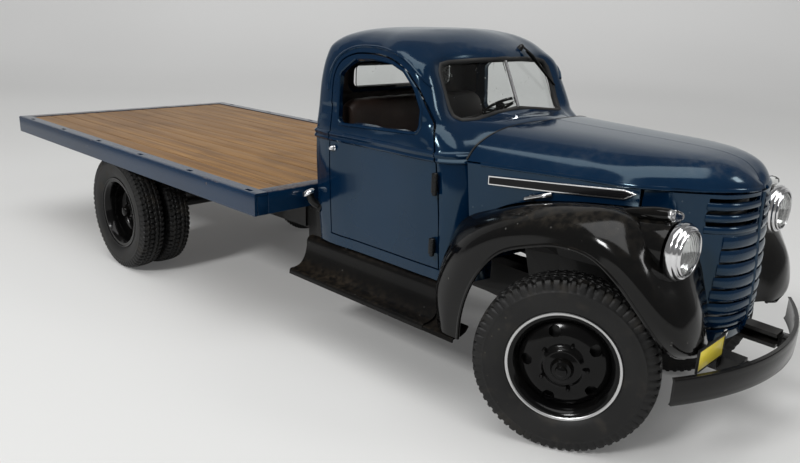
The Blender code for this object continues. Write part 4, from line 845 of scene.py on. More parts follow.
def hood_edge(x):
    """How far out the fold of the hood lies at a place along it, and its height."""
    stops = [(station[2], station[3], station[4]) for station in HOOD_STATIONS]
    for (x0, y0, z0), (x1, y1, z1) in zip(stops, stops[1:]):
        if x <= x1:
            share = (x - x0) / (x1 - x0)
            return y0 + (y1 - y0) * share, z0 + (z1 - z0) * share
    return stops[-1][1:]


def on_hood_side(x, z, side, proud=0.0):
    y, fold = hood_edge(x)
    return Vector((x, side * (y - (fold - z) * 0.022 + HOOD_WALL + proud), z))


def thickened(made):
    """The sheet moved out by the wall, which dies away at the nose."""
    made.normal_update()
    for vert in made.verts:
        vert.co += vert.normal * HOOD_WALL * clamped((NOSE_X - vert.co.x) / NOSE_TAPER)
    return made


HOOD_BLUE = blue_enamel("hood_enamel", 0.10, 0.16)
for word, side in SIDES:
    rows = smooth_rows([hood_column(station) for station in HOOD_STATIONS], [3, 3, 3, 3, 4, 4],
                       [6, 10, 10, 4, 4, 4, 4, 3])
    top = skin([[Vector((p.x, p.y * side, p.z)) for p in row] for row in rows])
    outwards(top, HOOD_MIDDLE)
    piece(f"hood_top_{word}", thickened(top), HOOD_BLUE, f"hood_{word}", (f"hood_{word}",),
          wall=HOOD_WALL, edge=0.0002)
    columns = []
    for station in HOOD_STATIONS[:4]:
        fold, foot = Vector(station[2:5]), Vector((station[2], station[5], station[6]))
        foot.x += 0.0019 * (station[0] < -0.0300)
        columns.append([fold.lerp(foot, share) for share in (0, 0.33, 0.66, 1)])
    panel = skin([[Vector((p.x, p.y * side, p.z - 0.0001)) for p in row]
                  for row in smooth_rows(columns, 3, [6, 8, 8])])
    outwards(panel, HOOD_MIDDLE)
    piece(f"hood_side_{word}", thickened(panel), HOOD_BLUE, f"hood_{word}", wall=HOOD_WALL,
          edge=0.0002)
    fold_line = [row[-1] for row in rows[2:-1]]
    line = [Vector((p.x, (p.y + HOOD_WALL * (p.x < 0.0210)) * side, p.z)) for p in fold_line]
    bead = moulding(line, 0.0014, 0.0010, normal=Vector((0.3, side, 0.25)))
    piece(f"hood_bead_{word}", bead, HOOD_BLUE, f"hood_{word}")

for word, side in SIDES:
    rear_edge = [Vector((p.x - 0.0005, side * (p.y + HOOD_WALL * 0.6), p.z + HOOD_WALL * 0.7))
                 for p in smooth_rows([hood_column(HOOD_STATIONS[0]),
                                       hood_column(HOOD_STATIONS[1])], [4, 4, 4, 4, 4, 4], [2])[0]]
    piece(f"hood_seal_{word}", moulding(rear_edge, 0.0008, 0.0008, normal=Vector((1, 0, 0)),
                                        sides=6), STEEL_BLACK)


# Columns: x, height, how proud
LATCH = mm(((-22.6, 79, 0.4), (-22.2, 79.1, 1.8), (-19, 80.2, 2.2), (-15, 81.5, 1.8),
            (-13.8, 81.9, 0.9)))
SPEAR = mm(((-36.4, 84.5), (-36.4, 81.4), (-15, 82.5), (9, 84.2), (12.8, 86.4), (9, 87.3),
            (-15, 85.8)))
ENAMEL_BLACK = enamel("spear_enamel", "black_paint", (0.003, 0.003, 0.004), (0.006, 0.006, 0.007),
                      0.24, dust=0.12, sheen=0.15)
for word, side in SIDES:
    for name, grown, proud, finish in (("spear_edge", 0.0, 0.0008, CHROME),
                                       ("spear_centre", -0.00042, 0.00095, ENAMEL_BLACK)):
        outline = moved_out(list(SPEAR), grown)
        behind = [on_hood_side(x, z, side) for x, z in outline]
        spear = bmesh.new()
        sheet = spear.faces.new([spear.verts.new(place) for place in behind])
        raised = bmesh.ops.extrude_face_region(spear, geom=[sheet])
        lifted = [item for item in raised["geom"] if isinstance(item, bmesh.types.BMVert)]
        bmesh.ops.translate(spear, vec=(0, side * proud, 0), verts=lifted)
        bmesh.ops.triangulate(spear, faces=[face for face in spear.faces if len(face.verts) > 4])
        bmesh.ops.recalc_face_normals(spear, faces=spear.faces)
        piece(f"{name}_{word}", spear, finish, f"hood_{word}", edge=0.00015)
    grip = [on_hood_side(x, z, side, proud) for x, z, proud in LATCH]
    handle = moulding(bend(grip, 4), 0.0014, 0.0010, normal=Vector((0, side, 0.1)), sides=10)
    base = lathe(mm([(0, 1.2), (0.9, 1), (1.2, 0.3), (1.2, 0), (0, 0)]), 14,
                 on_hood_side(-0.0205, 0.0797, side), toward((0, side, 0)))
    piece(f"hood_latch_{word}", together(handle, base), CHROME, f"hood_{word}")


# Grille shell
# One pressed shell under the hood's nose, with three wide slots above and seven narrower pairs
# below a plain band. The bars between them are rolled forward, and a rib runs down the middle.

# Columns: height, then x and y at the rear and at the corner, and x at the front
SHELL_LEVELS = mm((
    (44, 28, 18.2, 32.4, 15.7, 38.4),
    (54.8, 27.2, 19.6, 32.1, 16.2, 39),
    (64.5, 26.2, 21.4, 30.6, 18, 38.7),
    (74, 24, 23.6, 28.8, 20, 38),
    (81, 13.8, 29.4, 27.6, 20.8, 37.7),
    (87.8, 13.8, 29.6, 27.4, 21, 37.6),
))
# Columns: inner and outer ends, slot heights
SLOT_SETS = mm(((2.2, 19.6, (86, 82.4, 78.8)),
             (1.2, 15.8, (71.2, 66.9, 62.6, 58.3, 54, 49.7, 45.4))))
SLOT_HALF, SHELL_FOOT, SHELL_TOP = 0.0007, 0.0440, 0.0875
sections = []
for z, rear_x, rear_y, corner_x, corner_y, front in SHELL_LEVELS:
    depth, run, rise = front - corner_x, corner_x - rear_x, corner_y - rear_y
    half = [(rear_x, rear_y), (rear_x + run * 0.55, rear_y + rise * 0.42), (corner_x, corner_y)]
    for share in (0.8, 0.6, 0.4, 0.2, 0):
        half.append((corner_x + depth * sqrt(1 - share * share * 0.96) - 0.2 * depth * share ** 4,
                     corner_y * share))
    sections.append([Vector((x, y, z)) for x, y in half + [(x, -y) for x, y in half[-2::-1]]])
face = skin(smooth_rows(sections, 4, [10, 10, 10, 8, 8]))
outwards(face, (0, 0, 0.0650))
shell_tree = BVHTree.FromBMesh(face)


def on_shell(y, z):
    place, normal, _, _ = shell_tree.ray_cast(Vector((0.3, y, z)), Vector((-1, 0, 0)))
    return place, normal


def on_nose(middle):
    return middle.x > 0.0250


for inner, outer, heights in SLOT_SETS:
    for z in heights:
        for _, side in SIDES:
            near, far = sorted((side * inner, side * outer))
            slot = rounded([(near, z - SLOT_HALF), (far, z - SLOT_HALF), (far, z + SLOT_HALF),
                            (near, z + SLOT_HALF)], 0.0005, steps=3)
            trim(face, slot, "X", on_nose)
GRILLE_BLUE = blue_enamel("grille_enamel", 0.12, 0.10, (0.0008, 0.0098, 0.0290),
                          (0.0012, 0.0130, 0.0380))
piece("grille_face", face, GRILLE_BLUE, replaces=("grille_shell",), wall=0.0011, edge=0.0001)
bars = []
for inner, outer, heights in SLOT_SETS:
    step = heights[0] - heights[1]
    gap = 0.0015 if step < 0.0040 else 0.0007
    for z in [heights[0] + step / 2] + [height - step / 2 for height in heights]:
        if not SHELL_FOOT <= z <= SHELL_TOP:
            continue
        for _, side in SIDES:
            hits = [on_shell(side * (inner - 0.0002 + (outer + 0.0004 - inner) * k / 12), z)
                    for k in range(13)]
            line = [place + normal * 0.0001 for place, normal in hits]
            bars.append(moulding(line, step - gap, 0.0008, normal=[normal for _, normal in hits]))
rib = [on_shell(0, SHELL_FOOT + 0.0434 * k / 20)[0] + Vector((0.0001, 0, 0)) for k in range(21)]
bars.append(moulding(rib, 0.0014, 0.0012, normal=Vector((1, 0, 0))))
piece("grille_bars", together(*bars), GRILLE_BLUE)
# Painted shade: a black sheet set 6 mm behind the slots, so that they read dark.
slot_shade_sheet = skin([[on_shell((0.0148 + 0.0040 * max(0, z - 0.0620) / 0.0225) * (k / 10 - 1), z)[0]
                - Vector((0.0060, 0, 0)) for k in range(21)]
               for z in [0.0445 + 0.0050 * k for k in range(9)]])
outwards(slot_shade_sheet, (0, 0, 0.0650))
piece("grille_baffle", slot_shade_sheet, STEEL_BLACK, wall=0.0006)
valance = skin([[on_shell(y, 0.0442)[0] + Vector((-0.0002 - down * 0.20, 0, 0.0002 - down))
                 for y in [0.0150 * (k / 12 - 1) for k in range(25)]]
                for down in mm((0, 0.4, 1.2, 2.2, 3.2, 3.6))])
outwards(valance, (0.0200, 0, 0.0430))
piece("grille_valance", valance, GRILLE_BLUE, wall=0.0006, edge=0.0001)
cover = lathe(mm([(0, 0.6), (1.6, 0.5), (2.2, 0.2), (2.3, -0.3), (0, -0.3)]), 28)
bmesh.ops.scale(cover, vec=(0.62, 1, 1), verts=cover.verts)
place, normal = on_shell(-0.0096, 0.0450)
facing = toward((normal + Vector((0, 0, -0.2))).normalized())
bmesh.ops.transform(cover, matrix=Matrix.Translation((place.x - 0.0007, -0.0096, 0.0428)) @ facing,
                    verts=cover.verts)
piece("crank_hole_cover", cover, CHROME)


# Fenders
# Deep pressed steel fenders with a rolled edge, in glossy black. A bullet pod on each carries the
# headlamp, and a small parking lamp sits on the pod's top.

# Columns: lip, side, crown and inner edge, each x, y, z
FENDER_STATIONS = mm((
    (-33.5, 54.8, 30.5, -40, 54.5, 30.5, -45.5, 51, 31, -47, 46.2, 32),
    (-33, 55, 38.4, -41, 54.5, 41, -47, 51, 45, -48.2, 46.4, 46),
    (-30.9, 55, 47.3, -38.5, 54.5, 51.5, -44.5, 51, 54.5, -47.6, 45.4, 57),
    (-26.5, 55, 56.5, -33, 54.5, 61.5, -38.5, 50, 65, -45, 41.8, 66.8),
    (-18.5, 55, 65.4, -22.5, 54.5, 69.5, -27, 49, 73.5, -32, 38.4, 73.5),
    (-7.7, 55, 70.1, -10, 54.3, 74.5, -13.5, 48, 78.8, -16.5, 35.8, 78.4),
    (2.6, 55, 72.6, 2, 54, 77, 0.5, 47, 82, -1, 33.2, 80.6),
    (12.5, 54.8, 71.9, 13.5, 53.5, 76.5, 14, 46, 82.2, 13.8, 31.6, 81.2),
    (20.5, 53.5, 66.5, 22.5, 53, 70, 22.5, 46, 76.5, 24.5, 26.6, 76.5),
    (26.5, 51, 59, 29.5, 50.5, 61, 30.5, 44, 65.5, 29, 22.2, 70),
    (31.5, 46.5, 50.5, 35, 46, 52.5, 36.5, 40.5, 57, 31.8, 20, 60),
    (34, 41, 45, 38, 40, 46.5, 38.5, 35, 49, 33.5, 18.6, 51),
    (34.5, 33, 41.8, 37.5, 32, 43, 37.8, 28, 44.5, 33.8, 18.2, 45.5),
))
POD_Y, POD_Z, POD_FRONT, FENDER_GROWTH = 0.0375, 0.0744, 0.0290, 0.0004
PARKING_X, PARKING_Z, PARKING_TILT = 0.0075, 0.0812, 0.142
TO_FRONT = Matrix.Rotation(pi / 2, 4, "Y")


def set_in(made, matrix):
    bmesh.ops.transform(made, matrix=matrix, verts=made.verts)
    return made


def parking_place(side):
    turn = Matrix.Rotation(pi / 2 - PARKING_TILT, 4, "Y")
    return Matrix.Translation((PARKING_X, side * POD_Y, PARKING_Z)) @ turn


FENDER_BLACK = enamel("fender_enamel", "black_paint", (0.0022, 0.0022, 0.0024),
                      (0.0040, 0.0038, 0.0035), 0.09, dust=0.34, dust_colour=(0.085, 0.070, 0.052),
                      sheen=0.20)
for word, side in SIDES:
    rows = smooth_rows([[Vector((row[k], side * row[k + 1], row[k + 2])) for k in (0, 3, 6, 9)]
                        for row in FENDER_STATIONS], [5, 6, 8], 5)
    wing = skin(rows)
    outwards(wing, (0, side * 0.0400, 0.0350))
    for vert in wing.verts:
        vert.co += vert.normal * FENDER_GROWTH
    piece(f"fender_skin_{word}", wing, FENDER_BLACK, replaces=(f"fender_{word}",), wall=0.0010,
          edge=0.0002)
    roll = moulding([row[0] for row in rows], 0.0013, 0.0013, normal=Vector((0, side, 0.02)))
    piece(f"fender_roll_{word}", roll, FENDER_BLACK)
    pod_line = rounded_line(mm([(0, 0.4), (2.8, 3), (5.7, 10), (7.4, 19.5), (8.1, 27), (8, 28.4)]),
                            5)
    pod = lathe(pod_line + mm([(6, 28.4), (5.8, 27.5), (0, 27.5)]), 40, (0, side * POD_Y, POD_Z),
                TO_FRONT)
    piece(f"lamp_pod_{word}", pod, FENDER_BLACK)
    housing = rounded_line(mm([(0, 0.4), (1.2, 4.5), (2, 10), (2.3, 15), (2, 18.8)]), 5)
    small = lathe(housing + mm([(1.4, 18.9), (1.4, 18), (0, 18)]), 32)
    piece(f"parking_lamp_{word}", set_in(small, parking_place(side)), FENDER_BLACK)


# Lamps
# Each headlamp has a bright rim over a bowl reflector, closed by a fluted glass lens. The parking
# lamps have small clear lenses in bright rims.

def fluted(name):
    made = clear_pane(name, (0.93, 0.94, 0.93))
    ridges = made.node("ShaderNodeMath", {0: made.axis("Y") * 6400}, operation="SINE")
    return made.bump(ridges * 0.5 + 0.5, 0.00008, 0.35)


LENS = fluted("fluted_lens")
for word, side in SIDES:
    place = (POD_FRONT + 0.0003, side * POD_Y, POD_Z)
    rim = lathe(rounded_line(mm([(6.4, 4), (6.6, 4.3), (6.9, 4.1), (7, 3.4)]), 2)
                + rounded_line(mm([(7.1, 3.3), (7.5, 3.4), (7.8, 3.1), (7.9, 2.4)]), 2)
                + rounded_line(mm([(8, 2.3), (8.4, 1.9), (8.4, 0.8), (8.2, 0.1)]), 2)
                + mm([(7, 0.1), (6.6, 2), (6.4, 4)]), 56, place, TO_FRONT)
    piece(f"headlamp_rim_{word}", rim, CHROME, replaces=(f"headlamp_{word}",))
    bowl = lathe(mm([(0, 0.1), (2, 0.2), (4.5, 1), (6.2, 2.4), (6.8, 3)]), 40, place, TO_FRONT)
    piece(f"headlamp_bowl_{word}", bowl, CHROME, wall=0.0001)
    lens = lathe(mm([(6.55, 3), (6.3, 3.6), (4.8, 4.7), (2.7, 5.4), (0, 5.6), (0, 5), (2.7, 4.8),
                     (4.8, 4.1), (6.1, 3.1), (6.55, 3)]), 48, place, TO_FRONT)
    piece(f"headlamp_lens_{word}", lens, LENS)
    collar = lathe(mm([(0, 18.2), (1.2, 18.6), (1.7, 18.8), (1.8, 19.3), (1.7, 19.7), (1.35, 19.7),
                       (1.25, 19), (0, 18.5)]), 24)
    piece(f"parking_collar_{word}", set_in(collar, parking_place(side)), CHROME)
    glass = lathe(mm([(0, 18.7), (1.7, 18.8), (1.8, 20.3), (1.4, 21.8), (0.8, 22.6), (0, 22.8)]),
                  12)
    piece(f"parking_lens_{word}", set_in(glass, parking_place(side)), LENS, smooth=15)


# Bumper and plate
# The bumper is a rolled steel channel on two brackets, with round-headed bolts. The plate beside
# the right frame end is blank, in a dark frame.

BUMPER_SWEEP, BUMPER_HALF, BUMPER_LOW, BUMPER_HEIGHT = 0.0133, 0.0475, 0.0328, 0.0084
BUMPER_INSET = 0.00002
BRACKET_Y, BRACKET_HALF, OUTER_BOLT_Y, BOLT_Z = 0.0155, 0.0022, 0.0425, 0.0370


def bumper_x(y):
    return NOSE_TO_AXLE - BUMPER_SWEEP * (y / BUMPER_HALF) ** 2


def bumper_out(y):
    """The way the bumper's face looks at a place across."""
    return Vector((1, 2 * BUMPER_SWEEP * y / BUMPER_HALF ** 2, 0)).normalized()


BUMPER_SECTION = mm(((-1.6, 0), (-1.4, -0.4), (-0.4, -0.4), (-0.1, 0.4), (-0.2, 1.6), (0, 2.4),
                     (0, 6), (-0.2, 6.8), (-0.1, 8), (-0.4, 8.8), (-1.4, 8.8), (-1.6, 8.4),
                     (-1.1, 7.4), (-1.1, 1), (-1.6, 0)))
rows = []
for k in range(49):
    y = -BUMPER_HALF + 2 * BUMPER_HALF * k / 48
    foot = Vector((bumper_x(y), y, BUMPER_LOW))
    out = bumper_out(y)
    rows.append([foot + out * (depth - BUMPER_INSET)
                 + Vector((0, 0, min(max(height, 0), BUMPER_HEIGHT)))
                 for depth, height in BUMPER_SECTION])
bar = capped(skin(rows))
arms = []
for _, side in SIDES:
    y = side * BRACKET_Y
    arms.append(box((0.0458, y - BRACKET_HALF, 0.0346),
                    (bumper_x(y) - 0.0011, y + BRACKET_HALF, 0.0388), 0.0003))
BUMPER_BLACK = enamel("bumper_enamel", "black_paint", (0.0040, 0.0040, 0.0042),
                      (0.0070, 0.0067, 0.0064), 0.16, dust=0.15, dust_colour=(0.10, 0.09, 0.075),
                      sheen=0.18)
piece("bumper_bar", together(bar, *arms), BUMPER_BLACK, replaces=("front_bumper",), smooth=45)
bolts = []
for y in (-OUTER_BOLT_Y, -BRACKET_Y, BRACKET_Y, OUTER_BOLT_Y):
    out = bumper_out(y)
    bolts.append(lathe(mm([(0, 0.1), (0.6, 0), (1, -0.3), (1.1, -0.6), (0, -0.6)]), 14,
                       Vector((bumper_x(y), y, BOLT_Z)) - out * 0.00012, toward(out)))
piece("bumper_bolts", together(*bolts), STEEL_BLACK)

YELLOW = enamel("blank_plate_yellow", "yellow_paint", (0.90, 0.72, 0.060), (0.95, 0.79, 0.085),
                0.35, dust=0.15)
backing = together(box((0.0396, -0.0375, 0.0400), (0.0402, -0.0192, 0.0474), 0.0002),
                   box((0.0380, -0.0215, 0.0360), (0.0397, -0.0188, 0.0415), 0.0002))
for low, high in mm((((40.1, -37.4, 40.1), (40.35, -36.9, 47.3)),
                     ((40.1, -19.8, 40.1), (40.35, -19.3, 47.3)),
                     ((40.1, -37, 40.1), (40.35, -19.7, 40.6)),
                     ((40.1, -37, 46.8), (40.35, -19.7, 47.3)))):
    backing = together(backing, box(low, high, 0.0001))
piece("plate_frame", backing, STEEL_BLACK, replaces=("number_plate",))
piece("plate_face", box((0.0401, -0.0368, 0.0407), (0.04025, -0.0199, 0.0467), 0.00005), YELLOW)


# Front wheels
# Steel disc wheels in glossy black with five hand holes, a domed hub with a cap, and a thin
# bright ring at the rim's edge. They are steered to the left.

AXLE_X, WHEELBASE, TYRE_RADIUS, TYRE_HALF = -0.0015, 0.2525, 0.0298, 0.00625
KINGPIN_Y, WHEEL_OFFSET, STEER_ANGLE = 0.0380, 0.0025, radians(25)
TWIN_CENTRE_Y, TWIN_SPACING = 0.0580, 0.0145


def wheel_place(side, offset, x, steer=0.0):
    """The matrix that puts a wheel made round Z, outer side up, on its axle."""
    turn = Matrix.Rotation(steer, 4, "Z")
    pin = Vector((x, side * KINGPIN_Y, TYRE_RADIUS)) if steer else Vector((x, 0, TYRE_RADIUS))
    hub = Vector((x, side * offset, TYRE_RADIUS))
    centre = pin + turn.to_3x3() @ (hub - pin)
    return Matrix.Translation(centre) @ turn @ Matrix.Rotation(-side * pi / 2, 4, "X")


def disc(profile, hole_circle, hole_radius, count=5):
    """A pressed disc with a ring of hand holes."""
    sheet = lathe(rounded_line(profile), 90)
    for k in range(count):
        angle = 2 * pi * (k + 0.5) / count
        ring = [(hole_circle * cos(angle) + hole_radius * cos(2 * pi * n / 20),
                 hole_circle * sin(angle) + hole_radius * sin(2 * pi * n / 20)) for n in range(20)]
        trim(sheet, ring, "Z", anywhere)
    return sheet


def nuts(count, circle, height, profile, shift=0.0):
    """A ring of six-sided nuts, for together()."""
    turns = [2 * pi * (k + shift) / count for k in range(count)]
    return [lathe(profile, 6, (circle * cos(turn), circle * sin(turn), height)) for turn in turns]


def edge_ring(height):
    """The thin ring that stands on a rim's edge."""
    section = mm([(17.6, 0), (17.9, 0.25), (18.4, 0.3), (18.6, 0), (18.4, -0.3), (17.8, -0.3),
                  (17.6, 0)])
    return lathe([(radius, height + rise) for radius, rise in section], 96)


WHEEL_BLACK = enamel("wheel_enamel", "black_paint", (0.0018, 0.0018, 0.0020),
                     (0.0034, 0.0032, 0.0030), 0.14, dust=0.15, dust_colour=(0.10, 0.085, 0.065),
                     sheen=0.14)
RING = plating("rim_ring", (0.60, 0.60, 0.60), 0.30)
for word, side in SIDES:
    place = wheel_place(side, KINGPIN_Y + WHEEL_OFFSET, AXLE_X, STEER_ANGLE)
    body = f"front_wheel_{word}"
    plate = disc(mm([(4.6, 5), (5.6, 5.2), (6.4, 4.6), (7.2, 4), (10, 3.8), (12.5, 3), (14.3, 1.8),
                     (15, 1)]), 0.0118, 0.0019)
    outwards(plate, (0, 0, -0.0300))
    piece(f"wheel_disc_{word}", set_in(plate, place), WHEEL_BLACK, body, (body,), wall=0.0008,
          edge=0.0001)
    well = lathe(mm([(14.3, 0.6), (15, 2.4), (15.4, 3.4), (16, 4), (16.6, 4.8), (17.2, 5),
                     (17.8, 4.9), (18, 4.6), (18, -4.6), (17.6, -5), (16, -4.8), (15.6, -3.6),
                     (14.3, -1.4), (14.3, 0.6)]), 96)
    piece(f"wheel_rim_{word}", set_in(well, place), WHEEL_BLACK, body)
    hub = [lathe(mm([(0, 8.8), (1, 8.7), (1.7, 8.3), (2, 7.7), (2.6, 7.5), (3, 7.4), (3.3, 7),
                     (3.6, 6.2), (3.8, 5.7), (4.8, 5.4), (5.6, 5), (6, 4.2), (5.8, 3.6), (0, 3.6)]),
                 48)]
    hub += nuts(5, 0.0078, 0.0040, mm([(0, 1.2), (0.4, 1.1), (0.65, 0.8), (0.7, 0), (0, 0)]))
    piece(f"wheel_hub_{word}", set_in(together(*hub), place), WHEEL_BLACK, body, smooth=30)
    drum = lathe(mm([(2.2, 0.6), (9, 0.6), (13.8, -0.2), (14.1, -4.4), (13.3, -4.8), (12.8, -4.6),
                     (12.6, -1), (2.2, -0.2), (2.2, 0.6)]), 64)
    piece(f"brake_drum_{word}", set_in(drum, place), STEEL_BLACK, body)
    piece(f"rim_ring_{word}", set_in(edge_ring(0.0050), place), RING, body)


# Tyres
# Moulded rubber with three zigzag ribs between rows of short lugs on both shoulders, a raised
# line under the lugs, and plain sidewalls. The rear axle carries twins on each side.

LUGS, STEPS_A_LUG, DEEP, SHALLOW, RIM_RADIUS = 66, 5, 0.0008, 0.0005, 0.0184


def tread(across, turn):
    """How deep the tread's grooves are at a place across, -1 to 1, and round, 0 to 1."""
    phase = turn * LUGS
    shoulder = abs(across)
    zig = 0.055 * (abs((phase % 1) - 0.5) * 4 - 1)
    depth = 0.0
    for line in (0.0, 0.40):
        if abs(shoulder - line - zig) < 0.055:
            depth = DEEP
    if shoulder > 0.56 and (phase + (0.5 if across > 0 else 0)) % 1 < 0.30:
        depth = DEEP
    if 0.12 < shoulder < 0.34 and (phase * 2 + (0.25 if across > 0 else 0.75)) % 2 < 0.30:
        depth = SHALLOW
    return depth


def tyre(place):
    # Columns: radius, place across as a share, share of the tread's depth that is cut here
    rim = RIM_RADIUS
    wall = [(rim, 0.62, 0), (rim, 0.74, 0), (rim + 0.0009, 0.84, 0), (rim + 0.0024, 0.93, 0),
            (rim + 0.0042, 0.985, 0), (0.0243, 1.0, 0), (0.0252, 0.992, 0), (0.0256, 1.012, 0),
            (0.0260, 0.990, 0), (0.0264, 0.972, 0.5), (0.0270, 0.958, 0.9), (0.0280, 0.925, 1),
            (0.0288, 0.88, 1), (0.0293, 0.82, 1)]
    crown = [(TYRE_RADIUS - 0.0005 * (share / 0.74) ** 4, share, 1)
             for share in (0.76, 0.70, 0.64, 0.58, 0.53, 0.48, 0.44, 0.40, 0.36, 0.32, 0.26, 0.20,
                           0.14, 0.09, 0.05, 0)]
    half = wall + crown
    profile = half + [(radius, -share, cut) for radius, share, cut in half[-2::-1]]
    steps = LUGS * STEPS_A_LUG
    rows = []
    for k in range(steps + 1):
        turn = (k % steps) / steps
        row = []
        for radius, share, cut in profile:
            depth = tread(share, turn) * cut
            reach = radius - depth
            row.append(Vector((reach * cos(2 * pi * turn), reach * sin(2 * pi * turn),
                               TYRE_HALF * share * (1 - depth * 18 * (abs(share) > 0.85)))))
        rows.append(row)
    return set_in(outwards(skin(rows), (0, 0, 0)), place)


def tyre_rubber(name):
    made = Finish(name, "tyre_rubber")
    cloud = made.noise(60, detail=5)
    grain = made.noise(1100, detail=2)
    dirt = made.noise(160, detail=4).above(0.52, 0.72)
    scuff = made.specks(300, 0.14) * made.noise(45).above(0.55, 0.75)
    tone = cloud.above(0.3, 0.7).blend((0.0050, 0.0050, 0.0052), (0.0105, 0.0103, 0.0100))
    tone = (dirt * 0.35).blend(tone, (0.045, 0.039, 0.031))
    made.give(Base_Color=(scuff * 0.5).blend(tone, (0.16, 0.14, 0.10)),
              Roughness=cloud * 0.15 + dirt * 0.1 + 0.44, Specular_IOR_Level=0.3)
    return made.bump(grain, 0.00005, 0.5)


RUBBER = tyre_rubber("tyre_rubber")
for word, side in SIDES:
    place = wheel_place(side, KINGPIN_Y + WHEEL_OFFSET, AXLE_X, STEER_ANGLE)
    piece(f"front_tread_{word}", tyre(place), RUBBER, f"front_wheel_{word}",
          (f"front_tyre_{word}",), smooth=32)
    for row, shift in (("outer", TWIN_SPACING / 2), ("inner", -TWIN_SPACING / 2)):
        place = wheel_place(side, TWIN_CENTRE_Y + shift, AXLE_X - WHEELBASE)
        piece(f"rear_tread_{word}_{row}", tyre(place), RUBBER, f"rear_wheels_{word}",
              (f"rear_tyre_{word}_{row}",), smooth=32)


# Rear wheels
# A deeply dished steel wheel on each side carries both tyres, with hand holes, a hub flange and
# its nuts.

for word, side in SIDES:
    place = wheel_place(side, TWIN_CENTRE_Y, AXLE_X - WHEELBASE)
    body = f"rear_wheels_{word}"
    plate = disc(mm([(5, 3), (6, 2.2), (7.5, 1.8), (12, 1.6), (13.4, 2.2), (14.4, 4.4), (14.8, 7)]),
                 0.0100, 0.0018)
    outwards(plate, (0, 0, -0.0300))
    piece(f"twin_disc_{word}", set_in(plate, place), WHEEL_BLACK, body, (f"rear_wheel_{word}",),
          wall=0.0008, edge=0.0001)
    rims = []
    for turn in (1, -1):
        line = mm([(15, 2.8), (15, 10), (15.8, 11.2), (16.4, 12), (17.2, 12.2), (17.8, 12.1),
                   (18, 11.8), (18, 2.6), (16.6, 2), (15, 2.8)])
        rims.append(lathe([(radius, height * turn) for radius, height in line], 96))
    rims.append(lathe(mm([(15, 3), (16.6, 2.2), (16.6, -2.2), (15, -3), (15, 3)]), 96))
    piece(f"twin_rims_{word}", set_in(together(*rims), place), WHEEL_BLACK, body)
    hub = [lathe(mm([(0, 10), (1.2, 9.9), (2.2, 9.5), (2.6, 8.8), (2.8, 7), (3.4, 6.4), (4.8, 6),
                     (5.2, 5.2), (5.4, 3), (6, 2), (0, 2)]), 48)]
    hub += nuts(8, 0.0042, 0.0061, mm([(0, 1), (0.4, 0.9), (0.6, 0.7), (0.6, 0), (0, 0)]), 0.5)
    drum = lathe(mm([(2.2, -1.4), (11, -1.4), (12.8, -2.4), (13, -10), (12.2, -10.8), (2.2, -10.4),
                     (2.2, -1.4)]), 64)
    piece(f"twin_hub_{word}", set_in(together(*hub), place), WHEEL_BLACK, body, smooth=30)
    piece(f"twin_drum_{word}", set_in(drum, place), STEEL_BLACK, body)
    piece(f"twin_ring_{word}", set_in(edge_ring(0.0122), place), WHEEL_BLACK, body)


# Running boards
# Pressed steel steps under the doors, curved up to the cab, in black with dust on the tread.

BOARD_REAR, BOARD_LENGTH, BOARD_FOOT_ENDS = -0.1260, 0.0768, (-0.0500, -0.0352)
BOARD_FOOT = mm(((47.2, 32.6), (48.6, 31), (51, 30.2), (55.2, 30), (55.7, 28.5)))
RUNNING_BOARD = mm(((42.5, 43), (44.8, 43), (45.9, 42), (46.4, 38.5), (47.8, 34), (50, 31.6),
                    (52.5, 30.8), (55.2, 30.5), (55.7, 28.5)))
BOARD_BLACK = enamel("running_board_black", "black_paint", (0.0030, 0.0030, 0.0032),
                     (0.0060, 0.0056, 0.0052), 0.26, dust=0.45, dust_colour=(0.058, 0.044, 0.030),
                     sheen=0.08)
for word, side in SIDES:
    section = bend([Vector((0, side * y, z)) for y, z in RUNNING_BOARD], 4)
    board = skin([[point + Vector((BOARD_REAR + BOARD_LENGTH * k / 24, 0, 0)) for point in section]
                  for k in range(25)])
    outwards(board, (-0.0850, side * 0.0520, -0.1000))
    piece(f"board_skin_{word}", board, BOARD_BLACK, replaces=(f"running_board_{word}",),
          wall=0.0009, edge=0.0003)
    foot = skin([[Vector((x, side * y, z)) for y, z in BOARD_FOOT] for x in BOARD_FOOT_ENDS])
    outwards(foot, (-0.0420, side * 0.0500, 0.0200))
    piece(f"board_foot_{word}", foot, BOARD_BLACK, wall=0.0009, edge=0.0003)


# Flat bed
# A frame of blue steel with stake pockets holds oiled planks that run from front to back. Paint
# is worn to rust along the edges and round the pockets.

BED_FRONT, BED_LENGTH, BED_HALF, BED_TOP, BED_SIDE = -0.1251, 0.2540, 0.07285, 0.0655, 0.0092
BED_REAR = BED_FRONT - BED_LENGTH
BED_FLANGE, BED_WALL, BED_SHEET = 0.0062, 0.0013, 0.0012
POCKET_LONG, POCKET_SHORT, POCKET_INSET, POCKET_PITCH = 0.0020, 0.0009, 0.0024, 0.0460


def oblong(x, y, half_x, half_y, radius, steps):
    """A rounded rectangle about a place."""
    return rounded([(x - half_x, y - half_y), (x + half_x, y - half_y), (x + half_x, y + half_y),
                    (x - half_x, y + half_y)], radius, steps)


def on_top(middle):
    return middle.z > BED_TOP - 0.0003


